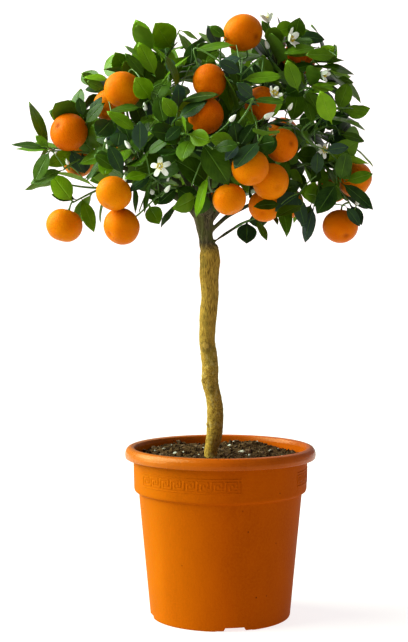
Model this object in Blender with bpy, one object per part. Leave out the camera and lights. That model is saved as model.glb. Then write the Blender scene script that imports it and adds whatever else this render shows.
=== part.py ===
"""Potted clementine tree: plastic pot, soil, trunk with limbs, leafy sprays, fruits and blossoms.

Metres, +Z up. The pot stands on the ground plane, and the middle of the whole tree's box is the origin.
Places in the lists below are millimetres from the pot's axis: across to the right, back, and up.
"""

import math
import random

import bmesh
import bpy
from mathutils import Matrix, Vector
from mathutils.bvhtree import BVHTree

MM = 0.001
GAP = 0.0003
POT_AXIS = Vector((0.031, -0.002, 0.0))

# Pot, turned about its axis
POT_SIDES = 32
POT_HEIGHT = 0.196
RIM_RADIUS = 0.110
RIM_SKIRT = 0.013
BAND_RADIUS = 0.1005
BAND_FOOT = 0.144
BODY_TOP_RADIUS = 0.094
BODY_FOOT_RADIUS = 0.0808
WALL = 0.0026
FLOOR_UNDERSIDE = 0.005
FLOOR_TOP = 0.008
FOOT_WIDTH = 0.006
NOTCH_TURN = math.radians(11)
NOTCH_HEIGHT = 0.0044
DRAIN_HOLES = 6
DRAIN_RADIUS = 0.0048
DRAIN_CIRCLE = 0.046

# Soil, and the plain hole that the trunk stands in
SOIL_SIDES = 16
SOIL_TOP = 0.183
TRUNK_FOOT = 0.118
STUB_RADIUS = 0.0078

# Trunk: height, place across, place back and radius, in millimetres, from the foot of the stub up
TRUNK = (
    (118, -11, 0, 7.8),
    (184, -11, 0, 7.8),
    (198, -9, 1, 8.4),
    (209, -7, 1, 9.5),
    (235, -6, 2, 9.6),
    (253, -8, 2, 9.0),
    (271, -12, 1, 9.6),
    (293, -12, 0, 9.6),
    (315, -15, -1, 9.3),
    (330, -15, -1, 9.4),
    (348, -14, 0, 10.2),
    (370, -12, 1, 10.0),
    (392, -13, 1, 11.2),
    (409, -12, 0, 12.0),
    (421, -13, 0, 11.0),
    (426, -15, 0, 8.9),
    (438, -17, 0, 8.2),
    (456, -19, 0, 10.6),
    (468, -20, 0, 11.6),
)
TRUNK_SIDES = 10
LIMB_SIDES = 5
SIDE_LIMB_SIDES = 4

# Limbs: name, parent limb and how far along it, points, and the radius at both ends, in millimetres
LIMBS = (
    ("a", None, 0, ((-21, 0, 456), (-41, 0, 477), (-80, -10, 498), (-121, -15, 521)), 6.2, 2.3),
    ("b", None, 0, ((-22, 1, 456), (-33, 2, 490), (-56, 5, 534), (-78, 0, 574)), 5.2, 2.1),
    ("c", None, 0, ((-19, 2, 456), (-15, 2, 499), (-10, 10, 546), (-3, 5, 597)), 6.0, 2.1),
    ("d", None, 0, ((-17, 0, 456), (2, 0, 496), (34, 0, 540), (63, 0, 586)), 5.5, 2.1),
    ("e", None, 0, ((-17, 0, 452), (9, 0, 479), (47, -5, 499), (88, -5, 517)), 5.0, 2.1),
    ("f", None, 0, ((-20, -3, 456), (-23, -25, 481), (-33, -54, 508), (-43, -76, 529)), 4.5, 2.0),
    ("g", None, 0, ((-17, -3, 456), (-5, -25, 482), (2, -45, 496), (14, -60, 507)), 4.2, 2.0),
    ("h", None, 0, ((-21, 3, 456), (-35, 30, 485), (-62, 65, 515), (-84, 90, 540)), 5.0, 2.1),
    ("i", None, 0, ((-17, 3, 456), (-6, 30, 485), (28, 65, 519), (51, 95, 548)), 5.0, 2.1),
    ("j", None, 0, ((-15, 0, 439), (6, -2, 459), (27, -10, 470), (42, -20, 477)), 3.1, 2.0),
    ("k", None, 0, ((-15, 0, 426), (4, -2, 439), (18, -4, 448)), 1.9, 1.7),
    ("a_low", "a", 0.62, ((-127, 0, 495),), 2.8, 2.0),
    ("a_front", "a", 0.40, ((-88, -45, 521),), 3.0, 2.0),
    ("b_left", "b", 0.55, ((-98, 14, 566),), 2.6, 2.0),
    ("b_back", "b", 0.60, ((-65, 50, 598),), 2.6, 2.0),
    ("c_front", "c", 0.55, ((8, -30, 567),), 2.8, 2.0),
    ("c_back", "c", 0.60, ((23, 50, 604),), 2.8, 2.0),
    ("d_top", "d", 0.60, ((48, 5, 593),), 2.6, 2.0),
    ("e_up", "e", 0.62, ((92, -10, 541),), 2.8, 2.0),
    ("f_left", "f", 0.50, ((-50, -55, 532),), 2.6, 2.0),
    ("f_low", "f", 0.25, ((-46, -45, 490),), 2.6, 2.0),
    ("g_front", "g", 0.40, ((-8, -62, 487),), 2.4, 2.0),
    ("h_mid", "h", 0.50, ((-24, 95, 531),), 2.8, 2.0),
)

# Fruits: centre, diameter, and the way that the stalk's end looks out of the fruit
FRUITS = {
    "fruit_top": ((25, -10, 667), 45, (0.2, 0.3, -0.8), "spray_top"),
    "fruit_upper_left": ((-108, -60, 597), 42, (0.3, 0.5, 1), "spray_front_left"),
    "fruit_far_left": ((-170, -35, 553), 43, (0.6, 0.8, -0.5), "spray_far_left"),
    "fruit_low_far_left": ((-175, -40, 449), 41, (0.3, 0.1, 1), "spray_left_low"),
    "fruit_low_left": ((-116, -95, 482), 39, (0.5, 0.6, 1), "spray_left_front"),
    "fruit_low_left_under": ((-109, -74, 447), 41, (0.8, 0.7, 0.6), "spray_front_low_left"),
    "fruit_left_behind": ((-165, 12, 525), 40, (0.7, 0.1, 0.6), "spray_far_left"),
    "fruit_upper_middle": ((-13, -70, 605), 38, (0.6, 0.6, 0.2), "spray_front_upper"),
    "fruit_middle": ((-17, -96, 565), 40, (-0.7, 0.6, 0.2), "spray_front_mid"),
    "fruit_middle_right": ((44, -45, 584), 38, (-0.7, -0.2, 0.4), "spray_front_upper"),
    "fruit_right_front": ((66, -75, 535), 37, (-0.8, 0.6, 0.3), "spray_front_right"),
    "fruit_front": ((30, -122, 508), 40, (-0.3, 0.7, 0.9), "spray_front_right"),
    "fruit_front_under": ((53, -92, 495), 40, (-0.5, 0.9, 0.4), "spray_front_right"),
    "fruit_front_low": ((8, -112, 475), 36, (-0.3, 0.3, 1), "spray_front_low"),
    "fruit_low_middle": ((48, -60, 470), 36, (0.2, 0.9, 0.6), "spray_low_right"),
    "fruit_low_behind": ((76, -14, 474), 37, (-0.8, 0.2, 0.7), "spray_low_right"),
    "fruit_far_right": ((152, -20, 501), 40, (-0.8, 0.1, 0.5), "spray_right_low"),
    "fruit_right_behind": ((132, 24, 496), 39, (-0.4, -0.7, 0.5), "spray_right_low"),
    "fruit_low_right": ((134, -35, 448), 40, (0.1, 0.4, 1), "spray_right_low"),
    "fruit_upper_right": ((91, 18, 643), 39, (0.2, -0.9, -0.5), "spray_right_upper"),
    "fruit_left_upper_behind": ((-126, -12, 585), 37, (0.2, 0.9, 0.5), "spray_upper_left"),
    "fruit_back_left": ((-112, 128, 552), 41, (0.2, -0.7, 0.2), "spray_back_left"),
    "fruit_back_top": ((14, 140, 602), 42, (-0.8, -0.1, 0.2), "spray_back_middle"),
    "fruit_back_right": ((78, 132, 566), 40, (0.1, -0.8, -0.2), "spray_back_right"),
    "fruit_back_low": ((-14, 152, 484), 41, (0.2, -0.3, 1), "spray_back_middle"),
}
FRUIT_SIDES = 12
FRUIT_RING_ANGLES = (20, 53, 88, 124, 160)
FRUIT_SQUAT = 0.93
STEM_DIMPLE = 0.13
NAVEL_DIMPLE = 0.05

# Blossoms: place, the way that they face, how far the petals open in degrees, and the carrying spray
BLOSSOMS = {
    "blossom_front": ((-65, -112, 509), (-0.1, -1, 0.15), 78, "spray_front_low_left"),
    "blossom_top": ((75, -28, 656), (0.8, -0.5, 0.2), 34, "spray_top_right"),
    "blossom_top_upright": ((54, -8, 679), (-0.2, -0.3, 1), 22, "spray_top_right"),
    "blossom_right": ((112, -28, 620), (0.85, -0.3, -0.4), 24, "spray_right_upper"),
    "blossom_middle": ((55, -80, 588), (0.5, -0.7, 0.5), 30, "spray_front_upper"),
    "blossom_right_low": ((112, -52, 531), (0.4, -0.9, 0.1), 66, "spray_right"),
    "bud_middle": ((8, -128, 556), (0.6, -0.4, 0.6), 0, "spray_front_mid"),
    "bud_left": ((-98, -103, 530), (-0.5, -0.4, 0.7), 0, "spray_left_front"),
    "bud_low": ((-61, -88, 484), (0.5, -0.5, 0.6), 0, "spray_front_low_left"),
}
PETAL_LENGTH = 0.0115
PETAL_WIDTH = 0.0052
BUD_LENGTH = 0.0105
BUD_RADIUS = 0.0026

# Leafy sprays: carrying limb, then the ends of its green twigs, the first one growing on from the limb
SPRAYS = {
    "spray_far_left": ("a", ((-194, -22, 533), (-170, 0, 577), (-175, -48, 510))),
    "spray_left_low": ("a_low", ((-167, -22, 475), (-184, -5, 499))),
    "spray_left_front": ("a_front", ((-119, -75, 563), (-90, -97, 548), (-126, -76, 522))),
    "spray_upper_left": ("b_left", ((-139, 12, 611), (-106, 18, 634))),
    "spray_top_left": ("b", ((-80, -10, 644), (-56, 10, 652))),
    "spray_front_left": ("f_left", ((-80, -80, 592), (-48, -112, 561))),
    "spray_front_low_left": ("f_low", ((-80, -60, 471), (-78, -92, 503))),
    "spray_front_mid": ("f", ((-46, -92, 590), (-36, -132, 543), (-10, -142, 526))),
    "spray_front_low": ("g_front", ((-14, -110, 502), (-43, -72, 474))),
    "spray_top": ("c", ((0, 5, 652), (-30, 22, 640))),
    "spray_top_right": ("d_top", ((61, 0, 657), (86, -8, 664))),
    "spray_right_upper": ("d", ((124, 5, 627), (115, -2, 650), (102, -45, 600))),
    "spray_front_upper": ("c_front", ((22, -74, 613), (35, -97, 584))),
    "spray_front_right": ("g", ((42, -134, 540), (15, -136, 530))),
    "spray_right": ("e_up", ((142, -10, 573), (114, -52, 574), (146, 5, 543))),
    "spray_right_low": ("e", ((147, -18, 473), (130, -34, 522), (104, -38, 470))),
    "spray_low_right": ("j", ((88, -52, 484), (58, -30, 486))),
    "spray_low_twig": ("k", ((40, -10, 458),)),
    "spray_back_left": ("h", ((-162, 100, 550), (-130, 92, 497), (-146, 80, 590))),
    "spray_back_top_left": ("b_back", ((-98, 92, 640), (-35, 100, 662))),
    "spray_back_top_right": ("c_back", ((37, 108, 652), (103, 92, 622))),
    "spray_back_right": ("i", ((133, 95, 543), (88, 112, 496))),
    "spray_back_middle": ("h_mid", ((-24, 165, 588), (-72, 150, 520), (33, 160, 527))),
}
CROWN_MIDDLE = Vector((-0.030, 0.0, 0.545))
CROWN_LOW = Vector((-0.241, -0.190, 0.427))
CROWN_HIGH = Vector((0.179, 0.190, 0.690))
TWIG_RADIUS = 0.0019
TWIG_END_RADIUS = 0.0011
TWIG_SIDES = 3
FORKS = (0.22, 0.42)

# Leaves
LEAF_SPACING = 0.0190
LEAF_LENGTH = (0.040, 0.062)
LEAF_SHORTEST = 0.030
LEAF_LONGEST = 0.078
LEAF_BREADTH = (0.46, 0.60)
LEAF_STATIONS = ((0.16, 0.42), (0.46, 1.0), (0.78, 0.72))
LEAF_ROOT = 0.0002
LEAF_HALF_THICKNESS = 0.0006
GOLDEN_TURN = math.radians(137.5)
TRIES = 16
DEPTH_TRIES = (0, -5, 5, -10, 10, -16, 16, -24, 24, -32, 32)

# Leaves seen from the front: base across and up, tip across and up, breadth shown, in millimetres, by spray
SEEN_LEAVES = {
    "spray_far_left": (
        (-196, 550, -214, 590, 11), (-193, 535, -237, 544, 12), (-192, 543, -212, 550, 10),
        (-168, 567, -196, 580, 20), (-192, 533, -214, 510, 17), (-191, 519, -213, 497, 15),
        (-174, 530, -194, 516, 18), (-167, 534, -154, 508, 17), (-163, 567, -158, 591, 14),
        (-152, 569, -132, 596, 14), (-163, 577, -174, 587, 9),
    ),
    "spray_left_low": (
        (-163, 474, -191, 507, 24), (-173, 469, -192, 485, 11), (-162, 463, -143, 442, 15),
        (-159, 474, -153, 465, 9),
    ),
    "spray_left_front": (
        (-105, 569, -133, 544, 24), (-85, 566, -123, 571, 14), (-86, 560, -88, 527, 19),
        (-121, 534, -104, 503, 21), (-126, 530, -126, 502, 18), (-130, 507, -149, 498, 8),
        (-98, 564, -112, 534, 19),
    ),
    "spray_front_low_left": (
        (-78, 515, -103, 499, 11), (-80, 508, -99, 486, 11), (-86, 464, -68, 450, 20),
        (-44, 472, -70, 472, 15), (-49, 486, -23, 474, 20), (-97, 494, -88, 462, 7),
    ),
    "spray_upper_left": (
        (-130, 617, -155, 623, 10), (-132, 603, -153, 615, 13), (-100, 625, -118, 642, 23),
        (-86, 620, -108, 648, 11),
    ),
    "spray_top_left": (
        (-79, 649, -97, 684, 22), (-83, 619, -92, 665, 25), (-39, 647, -72, 672, 33),
        (-67, 618, -39, 649, 17), (-94, 647, -109, 654, 7),
    ),
    "spray_front_left": (
        (-69, 585, -90, 602, 23), (-76, 581, -63, 562, 16), (-76, 570, -87, 560, 10),
        (-60, 542, -85, 523, 17), (-43, 552, -64, 532, 21), (-37, 563, -61, 579, 16),
        (-53, 574, -17, 582, 14),
    ),
    "spray_front_mid": (
        (-34, 556, -13, 533, 19), (-3, 518, 16, 531, 13), (-23, 582, -4, 590, 11),
    ),
    "spray_top": (
        (3, 669, -15, 677, 15), (11, 656, -26, 654, 15), (-23, 662, -46, 675, 9),
        (-37, 653, -23, 622, 16),
    ),
    "spray_top_right": (
        (47, 670, 49, 685, 11), (69, 667, 87, 677, 21), (80, 667, 119, 661, 15),
        (78, 653, 104, 657, 13), (72, 647, 94, 603, 19),
    ),
    "spray_right_upper": (
        (102, 641, 127, 649, 15), (126, 633, 130, 657, 10), (120, 631, 153, 625, 14),
        (126, 611, 153, 614, 13), (96, 605, 132, 611, 9), (124, 608, 147, 591, 21),
        (96, 602, 114, 571, 17),
    ),
    "spray_front_upper": (
        (21, 631, -3, 625, 14), (40, 580, 17, 597, 14), (-0, 583, 8, 559, 10), (42, 577, 69, 580, 10),
        (44, 608, 68, 614, 15),
    ),
    "spray_front_right": (
        (37, 540, 12, 507, 18), (41, 534, 57, 536, 17), (11, 494, 31, 485, 8),
    ),
    "spray_front_low": (
        (-6, 502, -29, 456, 11),
    ),
    "spray_right": (
        (137, 578, 168, 581, 15), (125, 560, 113, 598, 22), (103, 551, 96, 576, 15),
        (133, 555, 165, 549, 10), (119, 537, 146, 538, 16), (120, 554, 110, 582, 11),
    ),
    "spray_right_low": (
        (126, 533, 141, 502, 21), (141, 504, 169, 511, 14), (135, 497, 174, 471, 16),
        (141, 470, 159, 450, 15), (128, 474, 95, 483, 23), (100, 523, 121, 496, 16),
        (114, 455, 92, 430, 14),
    ),
    "spray_low_right": (
        (86, 487, 61, 465, 24), (92, 474, 95, 447, 16), (88, 469, 108, 451, 9),
    ),
    "spray_low_twig": (
        (28, 461, 29, 430, 23), (43, 453, 54, 433, 9),
    ),
}

COLOURS = {
    "pot": ((0.62, 0.185, 0.012), 0.42),
    "soil": ((0.035, 0.022, 0.014), 0.95),
    "bark": ((0.21, 0.145, 0.055), 0.85),
    "leaf": ((0.035, 0.115, 0.012), 0.38),
    "peel": ((0.85, 0.25, 0.005), 0.42),
    "petal": ((0.86, 0.84, 0.74), 0.55),
}


def clear_scene():
    for thing in list(bpy.data.objects):
        bpy.data.objects.remove(thing, do_unlink=True)


def material(name):
    made = bpy.data.materials.get(name)
    if made:
        return made
    colour, roughness = COLOURS[name]
    made = bpy.data.materials.new(name)
    made.use_nodes = True
    shader = made.node_tree.nodes["Principled BSDF"]
    shader.inputs["Base Color"].default_value = (*colour, 1.0)
    shader.inputs["Roughness"].default_value = roughness
    shader.inputs["Metallic"].default_value = 0.0
    made.diffuse_color = (*colour, 1.0)
    return made


def at(place):
    """A place in the lists, in metres from the origin."""
    return Vector(place) * MM + POT_AXIS


def new_object(name, points, faces, finish):
    mesh = bpy.data.meshes.new(name)
    mesh.from_pydata([tuple(p) for p in points], [], faces)
    mesh.validate()
    made = bpy.data.objects.new(name, mesh)
    made.data.materials.append(material(finish))
    bpy.context.scene.collection.objects.link(made)
    return made


def smooth(thing, sharp_degrees=38):
    thing.data.shade_smooth()
    thing.data.set_sharp_from_angle(angle=math.radians(sharp_degrees))


def united(name, pieces, finish):
    """One body from closed pieces that grow into each other: (points, faces) each."""
    first = new_object(name, *pieces[0], finish)
    others = bpy.data.collections.new(name + "_pieces")
    for points, faces in pieces[1:]:
        piece = new_object(name + "_piece", points, faces, finish)
        bpy.context.scene.collection.objects.unlink(piece)
        others.objects.link(piece)
    if others.objects:
        bpy.context.scene.collection.children.link(others)
        union = first.modifiers.new("union", "BOOLEAN")
        union.operation = "UNION"
        union.operand_type = "COLLECTION"
        union.collection = others
        union.solver = "EXACT"
        bpy.context.view_layer.objects.active = first
        bpy.ops.object.modifier_apply(modifier=union.name)
        for piece in list(others.objects):
            bpy.data.objects.remove(piece, do_unlink=True)
    bpy.data.collections.remove(others)
    return first


def turned(profile, sides, phase=0.0):
    """Points and faces of an outline of (radius, height), from the axis round to the axis, about +Z."""
    points = [Vector((0, 0, profile[0][1]))]
    for radius, height in profile[1:-1]:
        for k in range(sides):
            turn = phase + 2 * math.pi * k / sides
            points.append(Vector((radius * math.cos(turn), radius * math.sin(turn), height)))
    points.append(Vector((0, 0, profile[-1][1])))
    faces = []
    last = len(points) - 1
    rings = len(profile) - 2
    for k in range(sides):
        beside = (k + 1) % sides
        faces.append((0, 1 + beside, 1 + k))
        for ring in range(rings - 1):
            low = 1 + ring * sides
            high = low + sides
            faces.append((low + k, low + beside, high + beside, high + k))
        top = 1 + (rings - 1) * sides
        faces.append((last, top + k, top + beside))
    return points, faces


def inner_wall(height):
    """The radius of the pot's inside at a height."""
    corners = (
        (FLOOR_TOP, BODY_FOOT_RADIUS - WALL),
        (BAND_FOOT - 0.004, BODY_TOP_RADIUS - WALL),
        (BAND_FOOT + 0.004, BAND_RADIUS - 0.0015 - WALL),
        (POT_HEIGHT, BAND_RADIUS - WALL + 0.0004),
    )
    for (z0, r0), (z1, r1) in zip(corners, corners[1:]):
        if height <= z1:
            return r0 + (r1 - r0) * max(0.0, height - z0) / (z1 - z0)
    return corners[-1][1]


def pot_profile():
    foot = BODY_FOOT_RADIUS
    under_rim = POT_HEIGHT - RIM_SKIRT
    crest = POT_HEIGHT - 0.0055
    outline = [
        (0, FLOOR_UNDERSIDE),
        (foot - FOOT_WIDTH - 0.001, FLOOR_UNDERSIDE),
        (foot - FOOT_WIDTH, 0),
        (foot - 0.0008, 0),
        (foot, 0.0015),
        (BODY_TOP_RADIUS, BAND_FOOT - 0.005),
        (BAND_RADIUS - 0.0028, BAND_FOOT - 0.0015),
        (BAND_RADIUS - 0.0010, BAND_FOOT + 0.002),
        (BAND_RADIUS, under_rim + 0.007),
        (RIM_RADIUS - 0.0030, under_rim + 0.006),
        (RIM_RADIUS - 0.0022, under_rim),
        (RIM_RADIUS - 0.0006, under_rim),
        (RIM_RADIUS, under_rim + 0.0045),
        (RIM_RADIUS - 0.0008, crest + 0.001),
        (RIM_RADIUS - 0.0032, POT_HEIGHT - 0.0012),
        (RIM_RADIUS - 0.0066, POT_HEIGHT),
        (inner_wall(crest) + 0.0012, POT_HEIGHT - 0.0012),
        (inner_wall(crest), crest),
        (inner_wall(BAND_FOOT + 0.004), BAND_FOOT + 0.004),
        (inner_wall(BAND_FOOT - 0.004), BAND_FOOT - 0.004),
        (inner_wall(FLOOR_TOP), FLOOR_TOP),
        (0, FLOOR_TOP),
    ]
    return outline


def notch_piece(turn):
    """A stepped wedge that cuts one drainage notch, and the shallow rise beside it, through the foot ring."""
    half = (
        (-0.027, -0.001),
        (-0.026, 0.0009),
        (-0.0155, 0.0009),
        (-0.0110, NOTCH_HEIGHT),
    )
    outline = list(half) + [(-across, height) for across, height in reversed(half)]
    near = BODY_FOOT_RADIUS - FOOT_WIDTH - 0.008
    far = BODY_FOOT_RADIUS + 0.006
    spin = Matrix.Rotation(turn, 3, "Z")
    count = len(outline)
    points = [spin @ Vector((across, -near, height)) for across, height in outline]
    points += [spin @ Vector((across, -far, height)) for across, height in outline]
    faces = [tuple(range(count)), tuple(reversed(range(count, 2 * count)))]
    for k in range(count):
        beside = (k + 1) % count
        faces.append((beside, k, count + k, count + beside))
    return points, faces


def drain_piece(turn):
    """A short rod that cuts one drainage hole through the pot's floor."""
    middle = Vector((DRAIN_CIRCLE * math.cos(turn), DRAIN_CIRCLE * math.sin(turn), 0))
    outline = [(0, FLOOR_UNDERSIDE - 0.001), (DRAIN_RADIUS, FLOOR_UNDERSIDE - 0.001)]
    outline += [(DRAIN_RADIUS, FLOOR_TOP + 0.001), (0, FLOOR_TOP + 0.001)]
    points, faces = turned(outline, 8)
    return [p + middle for p in points], faces


def outward(thing):
    """Turns a closed mesh's faces outwards."""
    shape = bmesh.new()
    shape.from_mesh(thing.data)
    bmesh.ops.recalc_face_normals(shape, faces=shape.faces)
    shape.to_mesh(thing.data)
    shape.free()


def make_pot():
    points, faces = turned(pot_profile(), POT_SIDES)
    pot = new_object("pot", [p + POT_AXIS for p in points], faces, "pot")
    outward(pot)
    smooth(pot, 30)
    cuts = [notch_piece(NOTCH_TURN + k * math.pi / 2) for k in range(4)]
    cuts += [drain_piece(2 * math.pi * k / DRAIN_HOLES) for k in range(DRAIN_HOLES)]
    points, faces = [], []
    for cut_points, cut_faces in cuts:
        faces += [tuple(i + len(points) for i in face) for face in cut_faces]
        points += [p + POT_AXIS for p in cut_points]
    cutter = new_object("pot_cutter", points, faces, "pot")
    outward(cutter)
    cutter.hide_render = True
    cutter.display_type = "WIRE"
    cut = pot.modifiers.new("notches and drainage", "BOOLEAN")
    cut.operation = "DIFFERENCE"
    cut.object = cutter
    return pot


def soil_height(across, back):
    """The uneven top of the soil, heaped towards the back and the left."""
    heap = 0.0075 * math.exp(-(((across - 0.030) / 0.034) ** 2) - ((back - 0.070) / 0.030) ** 2)
    heap += 0.0065 * math.exp(-(((across + 0.052) / 0.034) ** 2) - ((back - 0.052) / 0.036) ** 2)
    ripple = 0.0012 * math.sin(across * 170 + 0.6) * math.cos(back * 150 + 1.1)
    ripple += 0.0008 * math.sin(across * 310 - back * 270)
    return SOIL_TOP + heap + ripple


def make_soil():
    """Closed body: round side against the pot, uneven top, and a plain hole for the trunk."""
    trunk_foot = Vector((TRUNK[0][1] * MM, TRUNK[0][2] * MM, 0))
    hole = STUB_RADIUS + GAP * 1.6
    foot = FLOOR_TOP + GAP
    waist = BAND_FOOT - 0.004
    shoulder = BAND_FOOT + 0.004
    rings = []
    for share in (0.0, 0.14, 0.38, 0.68, 1.0):
        ring = []
        for k in range(SOIL_SIDES):
            turn = 2 * math.pi * k / SOIL_SIDES
            way = Vector((math.cos(turn), math.sin(turn), 0))
            inner = trunk_foot + way * hole
            outer = way * (inner_wall(SOIL_TOP) - GAP * 2)
            place = inner.lerp(outer, share)
            ring.append(Vector((place.x, place.y, soil_height(place.x, place.y))))
        rings.append(ring)
    hole_foot = [Vector((p.x, p.y, TRUNK_FOOT - GAP)) for p in rings[0]]
    sides = []
    for height in (shoulder, waist, foot):
        radius = inner_wall(height) - GAP * 2
        turns = [2 * math.pi * k / SOIL_SIDES for k in range(SOIL_SIDES)]
        sides.append([Vector((radius * math.cos(t), radius * math.sin(t), height)) for t in turns])
    loops = [hole_foot] + rings + sides
    points = [trunk_foot + Vector((0, 0, TRUNK_FOOT - GAP))]
    for loop in loops:
        points += loop
    points.append(Vector((0, 0, foot)))
    faces = []
    for k in range(SOIL_SIDES):
        beside = (k + 1) % SOIL_SIDES
        faces.append((0, 1 + k, 1 + beside))
        for ring in range(len(loops) - 1):
            low = 1 + ring * SOIL_SIDES
            high = low + SOIL_SIDES
            faces.append((low + k, high + k, high + beside))
            faces.append((low + k, high + beside, low + beside))
        top = 1 + (len(loops) - 1) * SOIL_SIDES
        faces.append((len(points) - 1, top + beside, top + k))
    soil = new_object("soil", [p + POT_AXIS for p in points], faces, "soil")
    outward(soil)
    smooth(soil, 50)
    return soil


def smooth_path(corners, count):
    """Points along a curve through the corners, evenly by share of the way."""
    knots = [corners[0] * 2 - corners[1]] + list(corners) + [corners[-1] * 2 - corners[-2]]
    spans = len(corners) - 1
    path = []
    for k in range(count):
        place = spans * k / (count - 1)
        span = min(int(place), spans - 1)
        t = place - span
        a, b, c, d = knots[span : span + 4]
        point = b * 2 + (c - a) * t + (a * 2 - b * 5 + c * 4 - d) * t * t
        point += (b * 3 - a - c * 3 + d) * t * t * t
        path.append(point * 0.5)
    return path


def bent_path(start, bend, end, count):
    """Points on a curve from start to end, drawn towards the bend."""
    path = []
    for k in range(count):
        t = k / (count - 1)
        path.append(start * (1 - t) ** 2 + bend * 2 * t * (1 - t) + end * t * t)
    return path


def along(path, share):
    place = share * (len(path) - 1)
    k = min(int(place), len(path) - 2)
    return path[k].lerp(path[k + 1], place - k)


def tube(path, radii, sides):
    """A closed round rod along the path, its ends square to it."""
    count = len(path)
    heading = (path[1] - path[0]).normalized()
    side = heading.orthogonal().normalized()
    points = []
    for k, place in enumerate(path):
        ahead = path[min(k + 1, count - 1)] - path[max(k - 1, 0)]
        heading = ahead.normalized()
        side = (side - heading * side.dot(heading)).normalized()
        other = heading.cross(side)
        for j in range(sides):
            turn = 2 * math.pi * j / sides
            points.append(place + (side * math.cos(turn) + other * math.sin(turn)) * radii[k])
    faces = [tuple(reversed(range(sides))), tuple(range((count - 1) * sides, count * sides))]
    for k in range(count - 1):
        for j in range(sides):
            beside = (j + 1) % sides
            low = k * sides
            high = low + sides
            faces.append((low + j, low + beside, high + beside, high + j))
    return points, faces


def tapered(path, start, end):
    last = len(path) - 1
    return [start + (end - start) * k / last for k in range(last + 1)]


def limb_paths():
    paths = {}
    for name, parent, share, places, *_ in LIMBS:
        corners = [at(place) for place in places]
        if parent:
            start = along(paths[parent], share)
            ahead = along(paths[parent], share + 0.15) - start
            bend = start + ahead.normalized() * (corners[0] - start).length * 0.4
            paths[name] = bent_path(start, bend, corners[0], 3)
        else:
            paths[name] = smooth_path(corners, 5 if len(corners) > 3 else 4)
    return paths


def make_trunk(paths):
    path = [Vector((x, y, z)) * MM + POT_AXIS for z, x, y, _ in TRUNK]
    radii = [radius * MM for *_, radius in TRUNK]
    pieces = [tube(path, radii, TRUNK_SIDES)]
    for name, parent, _, _, start, end in LIMBS:
        radii = tapered(paths[name], start * MM, end * MM)
        pieces.append(tube(paths[name], radii, SIDE_LIMB_SIDES if parent else LIMB_SIDES))
    trunk = united("trunk", pieces, "bark")
    smooth(trunk)
    return trunk


def twig_paths(limbs):
    """Every green twig: the first of a spray grows on from its limb, the others fork from the first."""
    twigs = {}
    for name, (limb, ends) in SPRAYS.items():
        heading = (limbs[limb][-1] - limbs[limb][-2]).normalized()
        start = limbs[limb][-1] + heading * GAP
        end = at(ends[0])
        begin = start + heading * 0.003
        reach = (end - begin).length
        twigs[name] = [[start] + bent_path(begin, begin + heading * reach * 0.35, end, 4)]
        for fork, place in zip(FORKS, ends[1:]):
            begin = along(twigs[name][0], fork)
            end = at(place)
            onward = (along(twigs[name][0], fork + 0.2) - begin).normalized()
            bend = begin.lerp(end, 0.4) + onward * (end - begin).length * 0.16
            twigs[name].append(bent_path(begin, bend, end, 4))
    return twigs


def nearest_start(twigs, target):
    spots = [along(path, 0.12 + 0.08 * k) for path in twigs for k in range(12)]
    return min(spots, key=lambda spot: (spot - target).length)


def stem_depth(diameter):
    """How far the stem end of a fruit lies from its middle."""
    return diameter / 2 * (1 - STEM_DIMPLE) * FRUIT_SQUAT


def stalk_piece(twigs, seat, way, button):
    """A stalk from the nearest twig to a seat, with a small button at its end where the seat begins."""
    top = seat + way * GAP
    above = top + way * 0.006
    start = nearest_start(twigs, above + way * 0.004)
    reach = (above - start).length
    path = bent_path(start, above + way * reach * 0.35, above, 3)
    path += [top + way * 0.0011, top]
    radii = [0.0012, 0.0011, 0.0011, button, button * 0.92]
    return tube(path, radii, TWIG_SIDES)


def turn_to(way):
    return Vector((0, 0, 1)).rotation_difference(way).to_matrix()


def fruit_piece(middle, diameter, way):
    """A squat ball with a dimple at its stem and a shallow one at its navel."""
    profile = [(0, stem_depth(diameter))]
    for degrees in FRUIT_RING_ANGLES:
        angle = math.radians(degrees)
        radius = diameter / 2
        radius *= 1 - STEM_DIMPLE * math.exp(-((angle / 0.36) ** 2))
        radius *= 1 - NAVEL_DIMPLE * math.exp(-(((math.pi - angle) / 0.25) ** 2))
        profile.append((radius * math.sin(angle), radius * math.cos(angle) * FRUIT_SQUAT))
    profile.append((0, -diameter / 2 * (1 - NAVEL_DIMPLE) * FRUIT_SQUAT))
    points, faces = turned(profile, FRUIT_SIDES)
    spin = turn_to(way)
    return [middle + spin @ p for p in points], faces


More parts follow.
